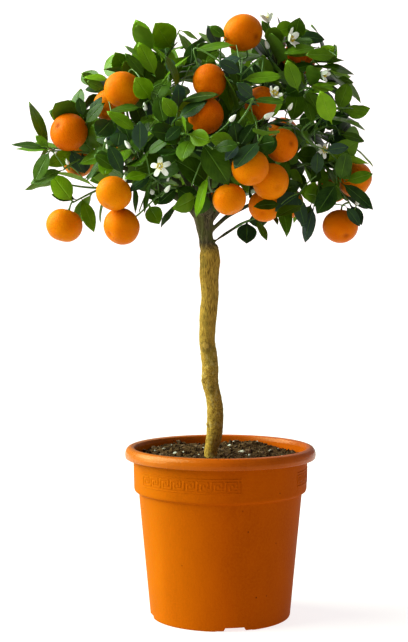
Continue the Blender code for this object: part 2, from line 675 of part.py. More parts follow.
def blade(root, way, face, length, width, arch, fold, stations, grow=0.0):
    """A pointed oval blade from its root: a midrib bent away from its face, edges raised by the fold."""
    side = way.cross(face).normalized()
    points = [root - way * LEAF_ROOT]
    for share, breadth in stations + ((1.0, 0.0),):
        turn = arch * share
        bow = length * (math.sin(turn) / arch if arch else share)
        drop = length * ((1 - math.cos(turn)) / arch if arch else 0)
        rib = root + way * bow - face * drop
        up = face * math.cos(turn) + way * math.sin(turn)
        if share == 1.0:
            points.append(rib + way * grow)
            break
        half = width / 2 * breadth + grow
        lift = up * half * math.sin(fold)
        thick = up * (LEAF_HALF_THICKNESS + grow)
        points.append(rib + side * half * math.cos(fold) + lift)
        points.append(rib + thick)
        points.append(rib - side * half * math.cos(fold) + lift)
        points.append(rib - thick)
    faces = [(0, 1, 2), (0, 2, 3), (0, 4, 1), (0, 3, 4)]
    for ring in range(len(stations) - 1):
        low = 1 + ring * 4
        high = low + 4
        faces += [(low, high, high + 1), (low, high + 1, low + 1)]
        faces += [(low + 1, high + 1, low + 2), (high + 1, high + 2, low + 2)]
        faces += [(low, high + 3, high), (low, low + 3, high + 3)]
        faces += [(low + 3, low + 2, high + 3), (high + 3, low + 2, high + 2)]
    low = 1 + 4 * (len(stations) - 1)
    tip = len(points) - 1
    faces += [(low, tip, low + 1), (low + 1, tip, low + 2)]
    faces += [(low, low + 3, tip), (low + 3, low + 2, tip)]
    return points, faces


def tree_of(piece):
    return BVHTree.FromPolygons(*piece, epsilon=0.0)


class Crowd:
    """The pieces placed so far, each with a ball round it, to test new ones against."""

    def __init__(self):
        self.members = []

    def add(self, owner, piece):
        points = piece[0]
        middle = sum(points, Vector()) / len(points)
        reach = max((p - middle).length for p in points)
        self.members.append((owner, middle, reach, tree_of(piece)))

    def clear_of(self, piece, leave_out=None):
        points = piece[0]
        middle = sum(points, Vector()) / len(points)
        reach = max((p - middle).length for p in points)
        tree = None
        for owner, centre, radius, other in self.members:
            if owner == leave_out or (centre - middle).length > radius + reach:
                continue
            tree = tree or tree_of(piece)
            if tree.overlap(other):
                return False
        return True


def blossom_pieces(place, way, opening):
    """The petals round a small eye, or one closed bud."""
    spin = turn_to(way)
    if not opening:
        outline = [(0, 0), (BUD_RADIUS * 0.7, BUD_LENGTH * 0.12), (BUD_RADIUS, BUD_LENGTH * 0.62)]
        outline += [(BUD_RADIUS * 0.55, BUD_LENGTH * 0.92), (0, BUD_LENGTH)]
        points, faces = turned(outline, 6)
        return [([place + spin @ p for p in points], faces)]
    outline = [(0, 0), (0.0017, 0.0007), (0.0014, 0.0050), (0, 0.0062)]
    points, faces = turned(outline, 5, 0.3)
    pieces = [([place + spin @ p for p in points], faces)]
    for k in range(5):
        turn = 2 * math.pi * k / 5 + 0.3
        out = spin @ Vector((math.cos(turn), math.sin(turn), 0))
        tilt = math.radians(opening)
        lengthwise = way * math.cos(tilt) + out * math.sin(tilt)
        face = way * math.sin(tilt) - out * math.cos(tilt)
        root = place + way * 0.0016 + out * 0.0004
        stations = ((0.6, 1.0),)
        width = min(PETAL_WIDTH, PETAL_LENGTH * 0.72 * math.sin(tilt))
        petal = blade(root, lengthwise, face, PETAL_LENGTH, width, 0.5, 0.25, stations)
        pieces.append(petal)
    return pieces


def leaf_trials(rng, place, onward, turn, last):
    """Settings for one leaf, first as it would like to grow and then bent to clear its neighbours."""
    out = (place - CROWN_MIDDLE - POT_AXIS).normalized()
    length = rng.uniform(*LEAF_LENGTH) * (0.86 if last else 1.0)
    width = length * rng.uniform(*LEAF_BREADTH)
    arch = rng.uniform(0.2, 0.75)
    fold = rng.uniform(0.10, 0.30)
    lean = 0.25 if last else rng.uniform(0.75, 1.1)
    tilt = Vector((rng.uniform(-1, 1), rng.uniform(-1, 1), rng.uniform(-1, 1)))
    side = onward.orthogonal().normalized()
    other = onward.cross(side)
    for k in range(TRIES):
        swing = turn + (k + 1) // 2 * (0.42 if k % 2 else -0.42)
        spread = side * math.cos(swing) + other * math.sin(swing)
        way = onward * math.cos(lean) + spread * math.sin(lean)
        way += out * 0.45 + Vector((0, 0, -0.12))
        way.normalize()
        wish = out * 0.75 + Vector((0, -0.15, 0.75)) + tilt * 0.45
        face = wish - way * wish.dot(way)
        if face.length < 0.1:
            continue
        size = 1.0 - 0.03 * (k // 3)
        yield place, way, face.normalized(), length * size, width * size, arch, fold


def inside_crown(tip):
    place = tip - POT_AXIS
    return all(low < value < high for low, value, high in zip(CROWN_LOW, place, CROWN_HIGH))


def seen_trials(rng, twigs, seen):
    """Settings for one leaf as it shows from the front, and then with its tip nearer or further back."""
    base_across, base_up, tip_across, tip_up, breadth = (value * MM for value in seen)
    base_across += POT_AXIS.x
    tip_across += POT_AXIS.x
    spots = [along(path, k / 12) for path in twigs for k in range(3, 13)]
    spots.sort(key=lambda spot: math.hypot(spot.x - base_across, spot.z - base_up))
    for root in spots[:3]:
        shown = math.hypot(tip_across - root.x, tip_up - root.z)
        if shown > LEAF_LONGEST:
            continue
        length = max(shown, breadth / LEAF_BREADTH[1], LEAF_SHORTEST)
        nearer = math.sqrt(length * length - shown * shown)
        for offset in DEPTH_TRIES:
            tip = Vector((tip_across, root.y - nearer + offset * MM, tip_up))
            way = tip - root
            length = way.length
            way.normalize()
            front = Vector((0, -1, 0))
            front = (front - way * front.dot(way)).normalized()
            side = way.cross(front)
            if side.z < 0:
                side.negate()
            width = max(breadth, length * LEAF_BREADTH[0])
            turn = math.acos(breadth / width)
            face = front * math.cos(turn) + side * math.sin(turn)
            yield root, way, face, length, width, rng.uniform(0.05, 0.3), rng.uniform(0.08, 0.22)


def grown_clear(name, trials, own_twigs, crowd):
    """The first of the trial leaves that is clear of all that is there already."""
    for root, *shape in trials:
        wide = blade(root, *shape, LEAF_STATIONS, GAP * 1.2)
        if not inside_crown(wide[0][-1]):
            continue
        own = tree_of((wide[0], wide[1][4:]))
        if any(own.overlap(twig) for twig in own_twigs):
            continue
        if crowd.clear_of(wide, leave_out=name):
            crowd.add("leaf", wide)
            return blade(root, *shape, LEAF_STATIONS)
    return None


def twig_trees(twigs):
    return [tree_of(tube(path, [TWIG_RADIUS] * len(path), TWIG_SIDES)) for path in twigs]


def seen_leaves(name, rng, twigs, crowd):
    """The leaves that are seen from the front, on the sprays that carry them."""
    own_twigs = twig_trees(twigs)
    grown = []
    for seen in SEEN_LEAVES.get(name, ()):
        leaf = grown_clear(name, seen_trials(rng, twigs, seen), own_twigs, crowd)
        if leaf:
            grown.append(leaf)
    return grown


def filling_leaves(name, rng, twigs, crowd, there):
    """Leaves up each twig in a spiral, with one at its end, as many as the length of the spray needs."""
    own_twigs = twig_trees(twigs)
    places = []
    for path in twigs:
        reach = sum((b - a).length for a, b in zip(path, path[1:]))
        count = max(3, round(reach / LEAF_SPACING))
        turn = rng.uniform(0, 2 * math.pi)
        for k in range(count):
            last = k == count - 1
            share = 0.985 if last else 0.24 + 0.70 * k / (count - 1)
            onward = (along(path, min(1.0, share + 0.08)) - along(path, share - 0.08)).normalized()
            turn += GOLDEN_TURN
            places.append((along(path, share), onward, turn, last))
    wanted = len(places) - there
    rng.shuffle(places)
    grown = []
    for place, onward, turn, last in places:
        if len(grown) >= wanted:
            break
        leaf = grown_clear(name, leaf_trials(rng, place, onward, turn, last), own_twigs, crowd)
        if leaf:
            grown.append(leaf)
    return grown


def main():
    clear_scene()
    make_pot()
    make_soil()
    limbs = limb_paths()
    trunk = make_trunk(limbs)
    twigs = twig_paths(limbs)

    crowd = Crowd()
    trunk_points = [v.co.copy() for v in trunk.data.vertices]
    crowd.add("trunk", (trunk_points, [tuple(face.vertices) for face in trunk.data.polygons]))
    green = {}
    for name, paths in twigs.items():
        green[name] = []
        for k, path in enumerate(paths):
            start = TWIG_RADIUS if k == 0 else TWIG_RADIUS * 0.85
            green[name].append(tube(path, tapered(path, start, TWIG_END_RADIUS), TWIG_SIDES))
    for name, (place, diameter, way, spray) in FRUITS.items():
        way = Vector(way).normalized()
        piece = fruit_piece(at(place), diameter * MM, way)
        fruit = new_object(name, *piece, "peel")
        outward(fruit)
        fruit.data.shade_smooth()
        crowd.add(name, piece)
        seat = at(place) + way * stem_depth(diameter * MM)
        green[spray].append(stalk_piece(twigs[spray], seat, way, 0.0026))
    for name, (place, way, opening, spray) in BLOSSOMS.items():
        way = Vector(way).normalized()
        pieces = blossom_pieces(at(place), way, opening)
        blossom = united(name, pieces, "petal")
        outward(blossom)
        smooth(blossom, 60)
        for piece in pieces:
            crowd.add(name, piece)
        green[spray].append(stalk_piece(twigs[spray], at(place), way * -1, 0.0016))
    for name, pieces in green.items():
        for piece in pieces:
            crowd.add(name, piece)
    draws = {name: random.Random(100 + number) for number, name in enumerate(SPRAYS)}
    leaves = {name: seen_leaves(name, draws[name], twigs[name], crowd) for name in SPRAYS}
    for name, rng in draws.items():
        leaves[name] += filling_leaves(name, rng, twigs[name], crowd, len(leaves[name]))
        spray = united(name, green[name] + leaves[name], "leaf")
        smooth(spray, 50)


main()
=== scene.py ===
"""Potted clementine tree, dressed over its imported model. Metres, +Z up, -Y towards the photographed side.

Places in the lists are millimetres from the pot's axis: across to the right, back, and up.
"""

import math
import random

import bmesh
import bpy
from mathutils import Matrix, Vector, noise
from mathutils.bvhtree import BVHTree


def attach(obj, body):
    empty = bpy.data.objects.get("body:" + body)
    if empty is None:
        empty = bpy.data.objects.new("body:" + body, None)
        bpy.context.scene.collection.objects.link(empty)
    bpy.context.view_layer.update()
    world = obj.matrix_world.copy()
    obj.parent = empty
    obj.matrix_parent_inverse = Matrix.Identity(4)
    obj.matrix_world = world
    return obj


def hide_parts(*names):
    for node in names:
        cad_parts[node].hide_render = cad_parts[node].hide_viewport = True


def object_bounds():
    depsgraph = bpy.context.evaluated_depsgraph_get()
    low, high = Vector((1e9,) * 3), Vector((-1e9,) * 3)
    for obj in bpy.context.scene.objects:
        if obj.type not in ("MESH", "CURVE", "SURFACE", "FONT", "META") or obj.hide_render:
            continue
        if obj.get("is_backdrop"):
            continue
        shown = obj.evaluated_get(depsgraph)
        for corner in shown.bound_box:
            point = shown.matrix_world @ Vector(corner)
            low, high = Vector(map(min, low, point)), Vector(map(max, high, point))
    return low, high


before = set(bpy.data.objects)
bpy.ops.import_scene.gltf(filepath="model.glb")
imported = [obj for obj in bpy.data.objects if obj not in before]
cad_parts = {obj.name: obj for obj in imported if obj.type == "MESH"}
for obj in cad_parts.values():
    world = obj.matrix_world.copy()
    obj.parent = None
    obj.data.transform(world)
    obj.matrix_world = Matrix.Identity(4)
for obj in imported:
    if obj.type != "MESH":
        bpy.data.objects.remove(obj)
cad_low, cad_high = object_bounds()
bpy.ops.object.select_all(action="DESELECT")
POT_AXIS = Vector((0.031, -0.002, 0.0))

# Camera, light and floor: a standing view at the height of the trunk's graft, slightly downwards. One
# broad soft sun stands on the left and a faint sheen behind, in a pale room, over a wide pale floor
# that glows a little, as a light table does.
CAMERA_PLACE = Vector((-0.0189, -1.6, 0.413))
CAMERA_DOWN = 2.61
LENS = 78.1
SUN_STRENGTH = 8.4
SUN_TILT = 56
SUN_TURN = -92
SUN_BREADTH = 60
SHEEN_STRENGTH = 5
ROOM_LIGHT = 0.27
ROOM_SEEN = 1.3
FLOOR_GLOW = 0.78
bpy.ops.object.camera_add(location=POT_AXIS + CAMERA_PLACE, rotation=(math.radians(90 - CAMERA_DOWN), 0, 0))
camera = bpy.context.object
camera.data.lens = LENS
camera.data.sensor_width = 36
bpy.context.scene.camera = camera
bpy.ops.object.light_add(type="SUN", rotation=(math.radians(SUN_TILT), 0, math.radians(SUN_TURN)))
sun = bpy.context.object
sun.data.energy = SUN_STRENGTH
sun.data.angle = math.radians(SUN_BREADTH)
sun.data.color = (0.84, 1.0, 0.80)
bpy.ops.object.light_add(type="AREA", location=(0.5, 1.3, 1.6))
sheen = bpy.context.object
sheen.data.energy = SHEEN_STRENGTH
sheen.data.size = 1.6
sheen.rotation_euler = (Vector((0, 0, 0.5)) - sheen.location).to_track_quat("-Z", "Y").to_euler()
look = bpy.context.scene.view_settings
look.view_transform = "Standard"
look.gamma = 0.92
look.exposure = 0.10
world = bpy.data.worlds.new("pale room")
bpy.context.scene.world = world
world.use_nodes = True
room = world.node_tree.nodes["Background"]
seen = world.node_tree.nodes.new("ShaderNodeLightPath")
glow = world.node_tree.nodes.new("ShaderNodeMapRange")
glow.inputs["To Min"].default_value = ROOM_LIGHT
glow.inputs["To Max"].default_value = ROOM_SEEN
world.node_tree.links.new(seen.outputs["Is Camera Ray"], glow.inputs["Value"])
world.node_tree.links.new(glow.outputs[0], room.inputs["Strength"])
room.inputs["Color"].default_value = (1.0, 0.92, 0.92, 1)
bpy.ops.mesh.primitive_plane_add(size=30)
floor = bpy.context.object
floor.name = "floor"
floor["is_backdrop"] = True


class Finish:
    """A material, with what sets its shader and adds nodes to it."""

    def __init__(self, name, roughness, gloss=0.5):
        self.material = bpy.data.materials.new(name)
        self.material.use_nodes = True
        self.tree = self.material.node_tree
        self.shader = self.tree.nodes["Principled BSDF"]
        self.set({"Roughness": roughness, "Specular IOR Level": gloss})

    def feed(self, socket, value):
        """Gives a socket a link, a colour or a number."""
        if isinstance(value, bpy.types.NodeSocket):
            self.tree.links.new(value, socket)
        else:
            socket.default_value = (*value, 1) if socket.type == "RGBA" else value

    def set(self, values):
        """Feeds the named sockets of the shader."""
        for name, value in values.items():
            self.feed(self.shader.inputs[name], value)

    def node(self, kind, inputs, output=0, **settings):
        """An output of a new node with these settings and inputs."""
        made = self.tree.nodes.new("ShaderNode" + kind)
        for name, value in settings.items():
            setattr(made, name, value)
        for name, value in inputs.items():
            self.feed(made.inputs[name], value)
        return made.outputs[output]

    def pattern(self, kind, scale, stretch=(1, 1, 1), **more):
        """A pattern over the object's own places, drawn out along its axes."""
        places = self.node("Mapping", {"Vector": self.node("TexCoord", {}, "Object"), "Scale": stretch})
        return self.node(kind, {"Vector": places, "Scale": scale, **more})

    def noise(self, scale, detail=2.0, stretch=(1, 1, 1), roughness=0.5):
        """A cloudy pattern."""
        return self.pattern("TexNoise", scale, stretch, Detail=detail, Roughness=roughness)

    def mix(self, share, first, second):
        """A mix of two colours, by the share of the second."""
        return self.node("Mix", {0: share, 6: first, 7: second}, 2, data_type="RGBA")


paper = Finish("pale floor", 0.8)
paper.set({
    "Base Color": paper.mix(paper.noise(3.0), (0.24, 0.24, 0.24), (0.26, 0.26, 0.26)),
    "Emission Color": (1.0, 0.97, 0.97),
    "Emission Strength": FLOOR_GLOW,
})
floor.data.materials.append(paper.material)

# Pot: one moulded piece of satin terracotta-coloured plastic. The walls are drawn up from the foot
# ring, out to the wider band, over the rolled rim and down the inside to the floor.
FLOOR_TOP = 0.008
FOOT_RADIUS = 0.0808
POLISHED_FROM = 0.1765
NOTCH_TURN = math.radians(11)
# Half width and height of the two blocks that cut each notch of the foot ring.
NOTCHES = ((0.027, 0.0009), (0.0153, 0.0044))
NOTCH_DEPTH = 0.012
NOTCH_TAPER = 0.72
DRAIN_REACH = 0.046
DRAIN_RADIUS = 0.0048
FLOOR_MIDDLE = 0.0065
# Radius and height, from the middle of the underside over the rim to the floor inside.
POT_OUTLINE = (
    (0.040, 0.005), (0.0738, 0.005), (0.0748, 0), (0.0800, 0), (0.0808, 0.0015),
    (0.0941, 0.1432), (0.0962, 0.1442), (0.0987, 0.1454), (0.0995, 0.1485), (0.1005, 0.190),
    (0.1070, 0.189), (0.1078, 0.183), (0.1094, 0.183), (0.1100, 0.1875), (0.1092, 0.1915),
    (0.1068, 0.1948), (0.1034, 0.196), (0.0993, 0.1948), (0.0981, 0.1905),
    (0.0964, 0.1505), (0.0914, 0.1425), (0.0782, FLOOR_TOP), (0.0400, FLOOR_TOP),
)


def only(thing):
    """Makes one object the selected and active one."""
    bpy.ops.object.select_all(action="DESELECT")
    thing.select_set(True)
    bpy.context.view_layer.objects.active = thing


def applied(thing, kind, **settings):
    """Adds a modifier and applies it."""
    only(thing)
    made = thing.modifiers.new(kind.lower(), kind)
    for name, value in settings.items():
        setattr(made, name, value)
    bpy.ops.object.modifier_apply(modifier=made.name)


def smoothed(thing, degrees):
    """Smooth shading, but for edges sharper than an angle."""
    only(thing)
    bpy.ops.object.shade_smooth_by_angle(angle=math.radians(degrees))


def begun(name, primitive, **settings):
    """A primitive to start a piece from, with nothing else selected."""
    bpy.ops.object.select_all(action="DESELECT")
    primitive(**settings)
    made = bpy.context.object
    made.name = name
    return made


def closed_up():
    """Ends the edit of a closed shape: faces outwards, and its place in its mesh."""
    bpy.ops.mesh.select_all(action="SELECT")
    bpy.ops.mesh.normals_make_consistent(inside=False)
    bpy.ops.object.mode_set(mode="OBJECT")
    bpy.ops.object.transform_apply(location=True, rotation=True, scale=True)


def drawn(name, rings, sides):
    """A closed round body: a disc drawn out from ring to ring, each a centre and a radius."""
    spot, radius = rings[0]
    made = begun(name, bpy.ops.mesh.primitive_circle_add,
                 vertices=sides, radius=radius, fill_type="NGON", location=spot)
    bpy.ops.object.mode_set(mode="EDIT")
    for next_spot, next_radius in rings[1:]:
        bpy.ops.mesh.extrude_region_move(TRANSFORM_OT_translate={"value": next_spot - spot})
        grow = next_radius / radius
        bpy.ops.transform.resize(value=(grow, grow, 1), center_override=next_spot)
        spot, radius = next_spot, next_radius
    closed_up()
    return made


def joined(pieces, name):
    """Pieces made one object."""
    only(pieces[0])
    for piece in pieces:
        piece.select_set(True)
    bpy.ops.object.join()
    bpy.context.object.name = name
    return bpy.context.object


pot = drawn("pot_body", [(POT_AXIS + Vector((0, 0, z)), r) for r, z in POT_OUTLINE], 128)
applied(pot, "BEVEL", width=0.0009, segments=3, limit_method="ANGLE", angle_limit=math.radians(14))
cutters = []
for k in range(4):
    turn = NOTCH_TURN + k * math.pi / 2
    out = Matrix.Rotation(turn, 3, "Z") @ Vector((0, -FOOT_RADIUS, 0))
    for half_width, height in NOTCHES:
        cutter = begun("notch", bpy.ops.mesh.primitive_cube_add,
                       size=2, location=POT_AXIS + out, rotation=(0, 0, turn))
        cutter.scale = (half_width, NOTCH_DEPTH, height)
        for corner in cutter.data.vertices:
            if corner.co.z > 0:
                corner.co.x *= NOTCH_TAPER
        cutters.append(cutter)
for k in range(6):
    turn = math.pi / 3 * k
    spot = POT_AXIS + Vector((DRAIN_REACH * math.cos(turn), DRAIN_REACH * math.sin(turn), FLOOR_MIDDLE))
    cutters.append(begun("drain", bpy.ops.mesh.primitive_cylinder_add,
                         vertices=24, radius=DRAIN_RADIUS, depth=0.006, location=spot))
cutter = joined(cutters, "openings")
applied(pot, "BOOLEAN", operation="DIFFERENCE", object=cutter, solver="EXACT", use_self=True)
bpy.data.objects.remove(cutter, do_unlink=True)
smoothed(pot, 35)


def maths(made, operation, *values):
    """The outcome of one operation on numbers."""
    return made.node("Math", dict(enumerate(values)), operation=operation)


def axis(made, kind, letter):
    """One part of the object's own places, or of its UV map."""
    return made.node("SeparateXYZ", {0: made.node("TexCoord", {}, kind)}, letter)


def range_of(made, value, low, high, start=0.0, end=1.0):
    """A value taken from one range to another, and held at both ends."""
    inputs = {"Value": value, "From Min": low, "From Max": high, "To Min": start, "To Max": end}
    return made.node("MapRange", inputs)


def mottled(made, pattern, first, second, low=0.3, high=0.7, most=1.0):
    """One colour, with a second laid over it by up to a share where a pattern is strong."""
    return made.mix(range_of(made, pattern, low, high, 0.0, most), first, second)


def bump(made, height, distance, strength=1.0):
    """Relief too fine for the mesh."""
    inputs = {"Height": height, "Distance": distance, "Strength": strength}
    made.set({"Normal": made.node("Bump", inputs)})


def terracotta(name, roughness, gloss):
    """Plastic dyed right through: cloudy, finely grained, with painted light: more amber on its lit left
    side, redder on its shaded right.
    """
    made = Finish(name, roughness, gloss)
    cloud = range_of(made, made.noise(30.0, 6.0, (1, 1, 0.5)), 0.3, 0.7)
    # Painted light: a redder painted-shade tone on the right turns into a more amber painted-light tone on
    # the left, where the sun falls.
    lit_share = range_of(made, axis(made, "Object", "X"), POT_AXIS.x - 0.085, POT_AXIS.x + 0.005, 1, 0)
    shade_side_tone = made.mix(cloud, (0.355, 0.062, 0.0003), (0.420, 0.077, 0.0004))
    lit_side_tone = made.mix(cloud, (0.350, 0.092, 0.0006), (0.410, 0.114, 0.0010))
    grain = made.noise(420.0, 3.0)
    colour = mottled(made, grain, made.mix(lit_share, shade_side_tone, lit_side_tone), (0.435, 0.092, 0.0006), 0.35, 0.65, 0.5)
    specks = range_of(made, made.pattern("TexVoronoi", 62.0), 0.035, 0.075, 1, 0)
    sparse = range_of(made, made.noise(21.0, 0.0), 0.60, 0.64)
    made.set({
        "Base Color": made.mix(maths(made, "MULTIPLY", specks, sparse), colour, (0.11, 0.022, 0.002)),
        "Roughness": range_of(made, cloud, 0, 1, roughness - 0.03, roughness + 0.05),
        "Specular Tint": (1.0, 0.80, 0.45),
    })
    bump(made, grain, 0.00035, 0.8)
    return made.material


plastic = terracotta("satin terracotta plastic", 0.52, 0.015)
pot.data.materials.append(plastic)
pot.data.materials.append(terracotta("rim polished by handling", 0.28, 0.22))
for face in pot.data.polygons:
    face.material_index = 1 if face.center.z > POLISHED_FROM else 0
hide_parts("pot")
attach(pot, "root")

# Greek key: three panels of low relief on the pot's band, moulded in one with the wall, with a thin
# rib above and below. Each is a strip of cells, raised, softened and wrapped round the band.
# One unit of the key, row by row from below, where 1 is raised.
KEY_ROWS = ("1011111", "1010000", "1010111", "1010101", "1011101", "1000001", "1111111")
KEY_UNITS = 8
UNIT_CELLS = 8
RIB_ROWS = (-2, 8)
KEY_CELL = 0.00198
KEY_ROW = 0.00152
KEY_FOOT = 0.1591
KEY_HEIGHT = 0.00026
KEY_ROOT = 0.0005
PANEL_START = math.radians(-61.0)
PANEL_TURN = math.radians(120)
BAND_TOP = 0.190
BAND_RADIUS = 0.1005
BAND_SLOPE = 0.001 / 0.044
columns = KEY_UNITS * UNIT_CELLS + 1
lines = RIB_ROWS[1] - RIB_ROWS[0] + 1


def raised(column, row):
    """Whether a cell of a panel stands out: a rib below and above, and the key between them."""
    if row in RIB_ROWS:
        return True
    if not 0 <= row < len(KEY_ROWS):
        return False
    cell = column % UNIT_CELLS
    return column == columns - 1 or (row == 0 if cell == UNIT_CELLS - 1 else KEY_ROWS[row][cell] == "1")


panels = []
across, up = 2 / columns, 2 / lines
for panel in range(3):
    strip = begun("panel", bpy.ops.mesh.primitive_grid_add,
                  x_subdivisions=columns, y_subdivisions=lines, size=2)
    for parts in (strip.data.vertices, strip.data.edges):
        parts.foreach_set("select", [False] * len(parts))
    for face in strip.data.polygons:
        column, row = int((face.center.x + 1) / across), int((face.center.y + 1) / up) + RIB_ROWS[0]
        face.select = not raised(column, row)
    bpy.context.tool_settings.mesh_select_mode = (False, False, True)
    bpy.ops.object.mode_set(mode="EDIT")
    bpy.ops.mesh.delete(type="FACE")
    bpy.ops.mesh.select_all(action="SELECT")
    bpy.ops.mesh.extrude_region_move(TRANSFORM_OT_translate={"value": (0, 0, 1)})
    closed_up()
    for vertex in strip.data.vertices:
        place = vertex.co
        height = KEY_FOOT + ((place.y + 1) / up + RIB_ROWS[0]) * KEY_ROW
        turn = PANEL_START + panel * PANEL_TURN + (place.x + 1) / across * KEY_CELL / BAND_RADIUS
        wall = BAND_RADIUS - (BAND_TOP - height) * BAND_SLOPE
        radius = wall - KEY_ROOT + (KEY_HEIGHT + KEY_ROOT) * place.z
        vertex.co = POT_AXIS + Vector((radius * math.sin(turn), -radius * math.cos(turn), height))
    panels.append(strip)
bpy.context.tool_settings.mesh_select_mode = (True, False, False)
relief = joined(panels, "pot_key_relief")
applied(relief, "BEVEL", width=0.00016, segments=1, limit_method="ANGLE", angle_limit=math.radians(50))
smoothed(relief, 50)
relief.data.materials.append(plastic)
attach(relief, "root")

# Soil: dark potting mix heaped towards the back and the left, with a plain hole for the trunk. Its
# top is drawn out in rings from the hole to the wall, then roughened.
GAP = 0.0003
INSIDE_HEIGHTS = (FLOOR_TOP, 0.1425, 0.1505, 0.196)
INSIDE_RADII = (0.0782, 0.0914, 0.0964, 0.0983)
SOIL_TOP = 0.183
SOIL_RINGS = 44
TRUNK_FOOT = 0.118
TRUNK_RADIUS = 0.0078
trunk_foot = Vector((-0.011, 0, 0))


def stepwise(places, values, place):
    """A value read between places, in straight steps."""
    for k in range(len(places) - 1):
        if place <= places[k + 1]:
            share = (place - places[k]) / (places[k + 1] - places[k])
            return values[k] + (values[k + 1] - values[k]) * share
    return values[-1]


def soil_height(across, back):
    """The uneven top of the soil, heaped towards the back and the left."""
    heap = 0.0075 * math.exp(-(((across - 0.030) / 0.034) ** 2) - ((back - 0.070) / 0.030) ** 2)
    heap += 0.0065 * math.exp(-(((across + 0.052) / 0.034) ** 2) - ((back - 0.052) / 0.036) ** 2)
    ripple = 0.0012 * math.sin(across * 170 + 0.6) * math.cos(back * 150 + 1.1)
    ripple += 0.0008 * math.sin(across * 310 - back * 270)
    return SOIL_TOP + heap + ripple


hole_radius = TRUNK_RADIUS + GAP * 1.6
soil_radius = stepwise(INSIDE_HEIGHTS, INSIDE_RADII, SOIL_TOP) - GAP * 2
rings = [(POT_AXIS + trunk_foot + Vector((0, 0, TRUNK_FOOT - GAP)), hole_radius)]
for k in range(SOIL_RINGS + 1):
    share = k / SOIL_RINGS
    spot = POT_AXIS + trunk_foot * (1 - share) + Vector((0, 0, SOIL_TOP))
    rings.append((spot, hole_radius + (soil_radius - hole_radius) * share))
for height in (*INSIDE_HEIGHTS[2:0:-1], FLOOR_TOP + GAP):
    radius = stepwise(INSIDE_HEIGHTS, INSIDE_RADII, height) - GAP * 2
    rings.append((POT_AXIS + Vector((0, 0, height)), radius))
soil = drawn("soil_mix", rings, 192)
for vertex in soil.data.vertices:
    if abs(vertex.co.z - SOIL_TOP) < 0.0001:
        place = vertex.co - POT_AXIS
        rough = noise.noise(place * 150) * 0.0016 + noise.noise(place * 420) * 0.0011
        vertex.co.z = soil_height(place.x, place.y) + rough
smoothed(soil, 40)

humus = Finish("dark potting mix", 0.95, 0.08)
fibre = humus.noise(700.0, 4.0, (1, 0.3, 1))
colour = mottled(humus, humus.noise(140.0, 8.0), (0.036, 0.0190, 0.0088), (0.128, 0.070, 0.031), 0.35)
humus.set({"Base Color": mottled(humus, fibre, colour, (0.27, 0.17, 0.060), 0.6, 0.72, 0.6)})
bump(humus, fibre, 0.0008)
soil.data.materials.append(humus.material)
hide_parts("soil")
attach(soil, "root")

# Crumbs, bark chips and perlite: loose grains that lie on the potting mix and are pressed a little
# into it. Each kind is one lump, knocked out of round, and laid at many sizes and turns.
MM = 0.001
rng = random.Random(7)


def lump(name, seed, flat, rough):
    """A grain knocked out of round."""
    made = begun(name, bpy.ops.mesh.primitive_ico_sphere_add, subdivisions=2, radius=1)
    applied(made, "DECIMATE", ratio=0.55)
    for vertex in made.data.vertices:
        vertex.co *= 1 + rough * noise.noise(vertex.co * 1.6 + Vector((seed, 0, 0)))
        vertex.co.z *= flat
    return made


def linked(name, data):
    """A new object in the scene for a mesh or a curve."""
    made = bpy.data.objects.new(name, data)
    bpy.context.scene.collection.objects.link(made)
    return made


def copies(name, model, spots):
    """One mesh of a model repeated at each place, then the model is removed."""
    shape = bmesh.new()
    for spot in spots:
        part = model.data.copy()
        part.transform(spot)
        shape.from_mesh(part)
        bpy.data.meshes.remove(part)
    mesh = bpy.data.meshes.new(name)
    shape.to_mesh(mesh)
    shape.free()
    for finishing in model.data.materials:
        mesh.materials.append(finishing)
    bpy.data.objects.remove(model, do_unlink=True)
    return linked(name, mesh)


def grain_spots(count, smallest, largest, sink):
    """Places for grains on the soil, clear of the trunk, most of them small."""
    spots = []
    while len(spots) < count:
        radius = soil_radius * math.sqrt(rng.random()) * 0.985
        turn = rng.uniform(0, 2 * math.pi)
        across, back = radius * math.cos(turn), radius * math.sin(turn)
        size = smallest + (largest - smallest) * rng.random() ** 3
        if radius + size > soil_radius or math.hypot(across - trunk_foot.x, back) < 0.010 + size:
            continue
        place = POT_AXIS + Vector((across, back, soil_height(across, back) + size * sink))
        spin = Matrix.Rotation(rng.uniform(0, 6.28), 4, "Z")
        for axis in "XY":
            spin = spin @ Matrix.Rotation(rng.uniform(-0.7, 0.7), 4, axis)
        stretch = Matrix.Diagonal((size, size * rng.uniform(0.6, 1.0), size * rng.uniform(0.7, 1.0), 1))
        spots.append(Matrix.Translation(place) @ spin @ stretch)
    return spots


# Across, back and size.
BIG_GRAINS = (
    (26, 34, 4.2), (84, -3, 3.0), (-52, 10, 2.6), (88, 4, 2.2), (-34, -46, 2.2), (38, -52, 1.9),
    (-20, 44, 2.4), (60, 40, 2.2), (-66, 30, 2.0), (12, 60, 2.4),
)


def big_grains():
    """The few perlite grains that are large enough to be told one by one."""
    spots = []
    for across, back, size in BIG_GRAINS:
        across, back, size = across * MM, back * MM, size * MM
        place = POT_AXIS + Vector((across, back, soil_height(across, back) + size * 0.3))
        spots.append(Matrix.Translation(place) @ Matrix.Diagonal((size, size * 0.6, size * 0.5, 1)))
    return spots


def cloudy(made, cloud, first, second, distance, strength=1.0):
    """Two colours mottled by a cloud, which is the relief too."""
    made.set({"Base Color": mottled(made, cloud, first, second)})
    bump(made, cloud, distance, strength)


dry_chips = Finish("dry bark chips", 0.85)
cloud = dry_chips.noise(90.0, 4.0)
colour = mottled(dry_chips, cloud, (0.055, 0.028, 0.014), (0.19, 0.105, 0.052), 0.35, 0.65)
dry_chips.set({"Base Color": colour})
bump(dry_chips, dry_chips.noise(900.0, 3.0, (1, 0.25, 1)), 0.0004)
white = Finish("white perlite", 0.9)
cloudy(white, white.noise(400.0, 3.0), (0.34, 0.31, 0.26), (0.74, 0.72, 0.66), 0.0005)
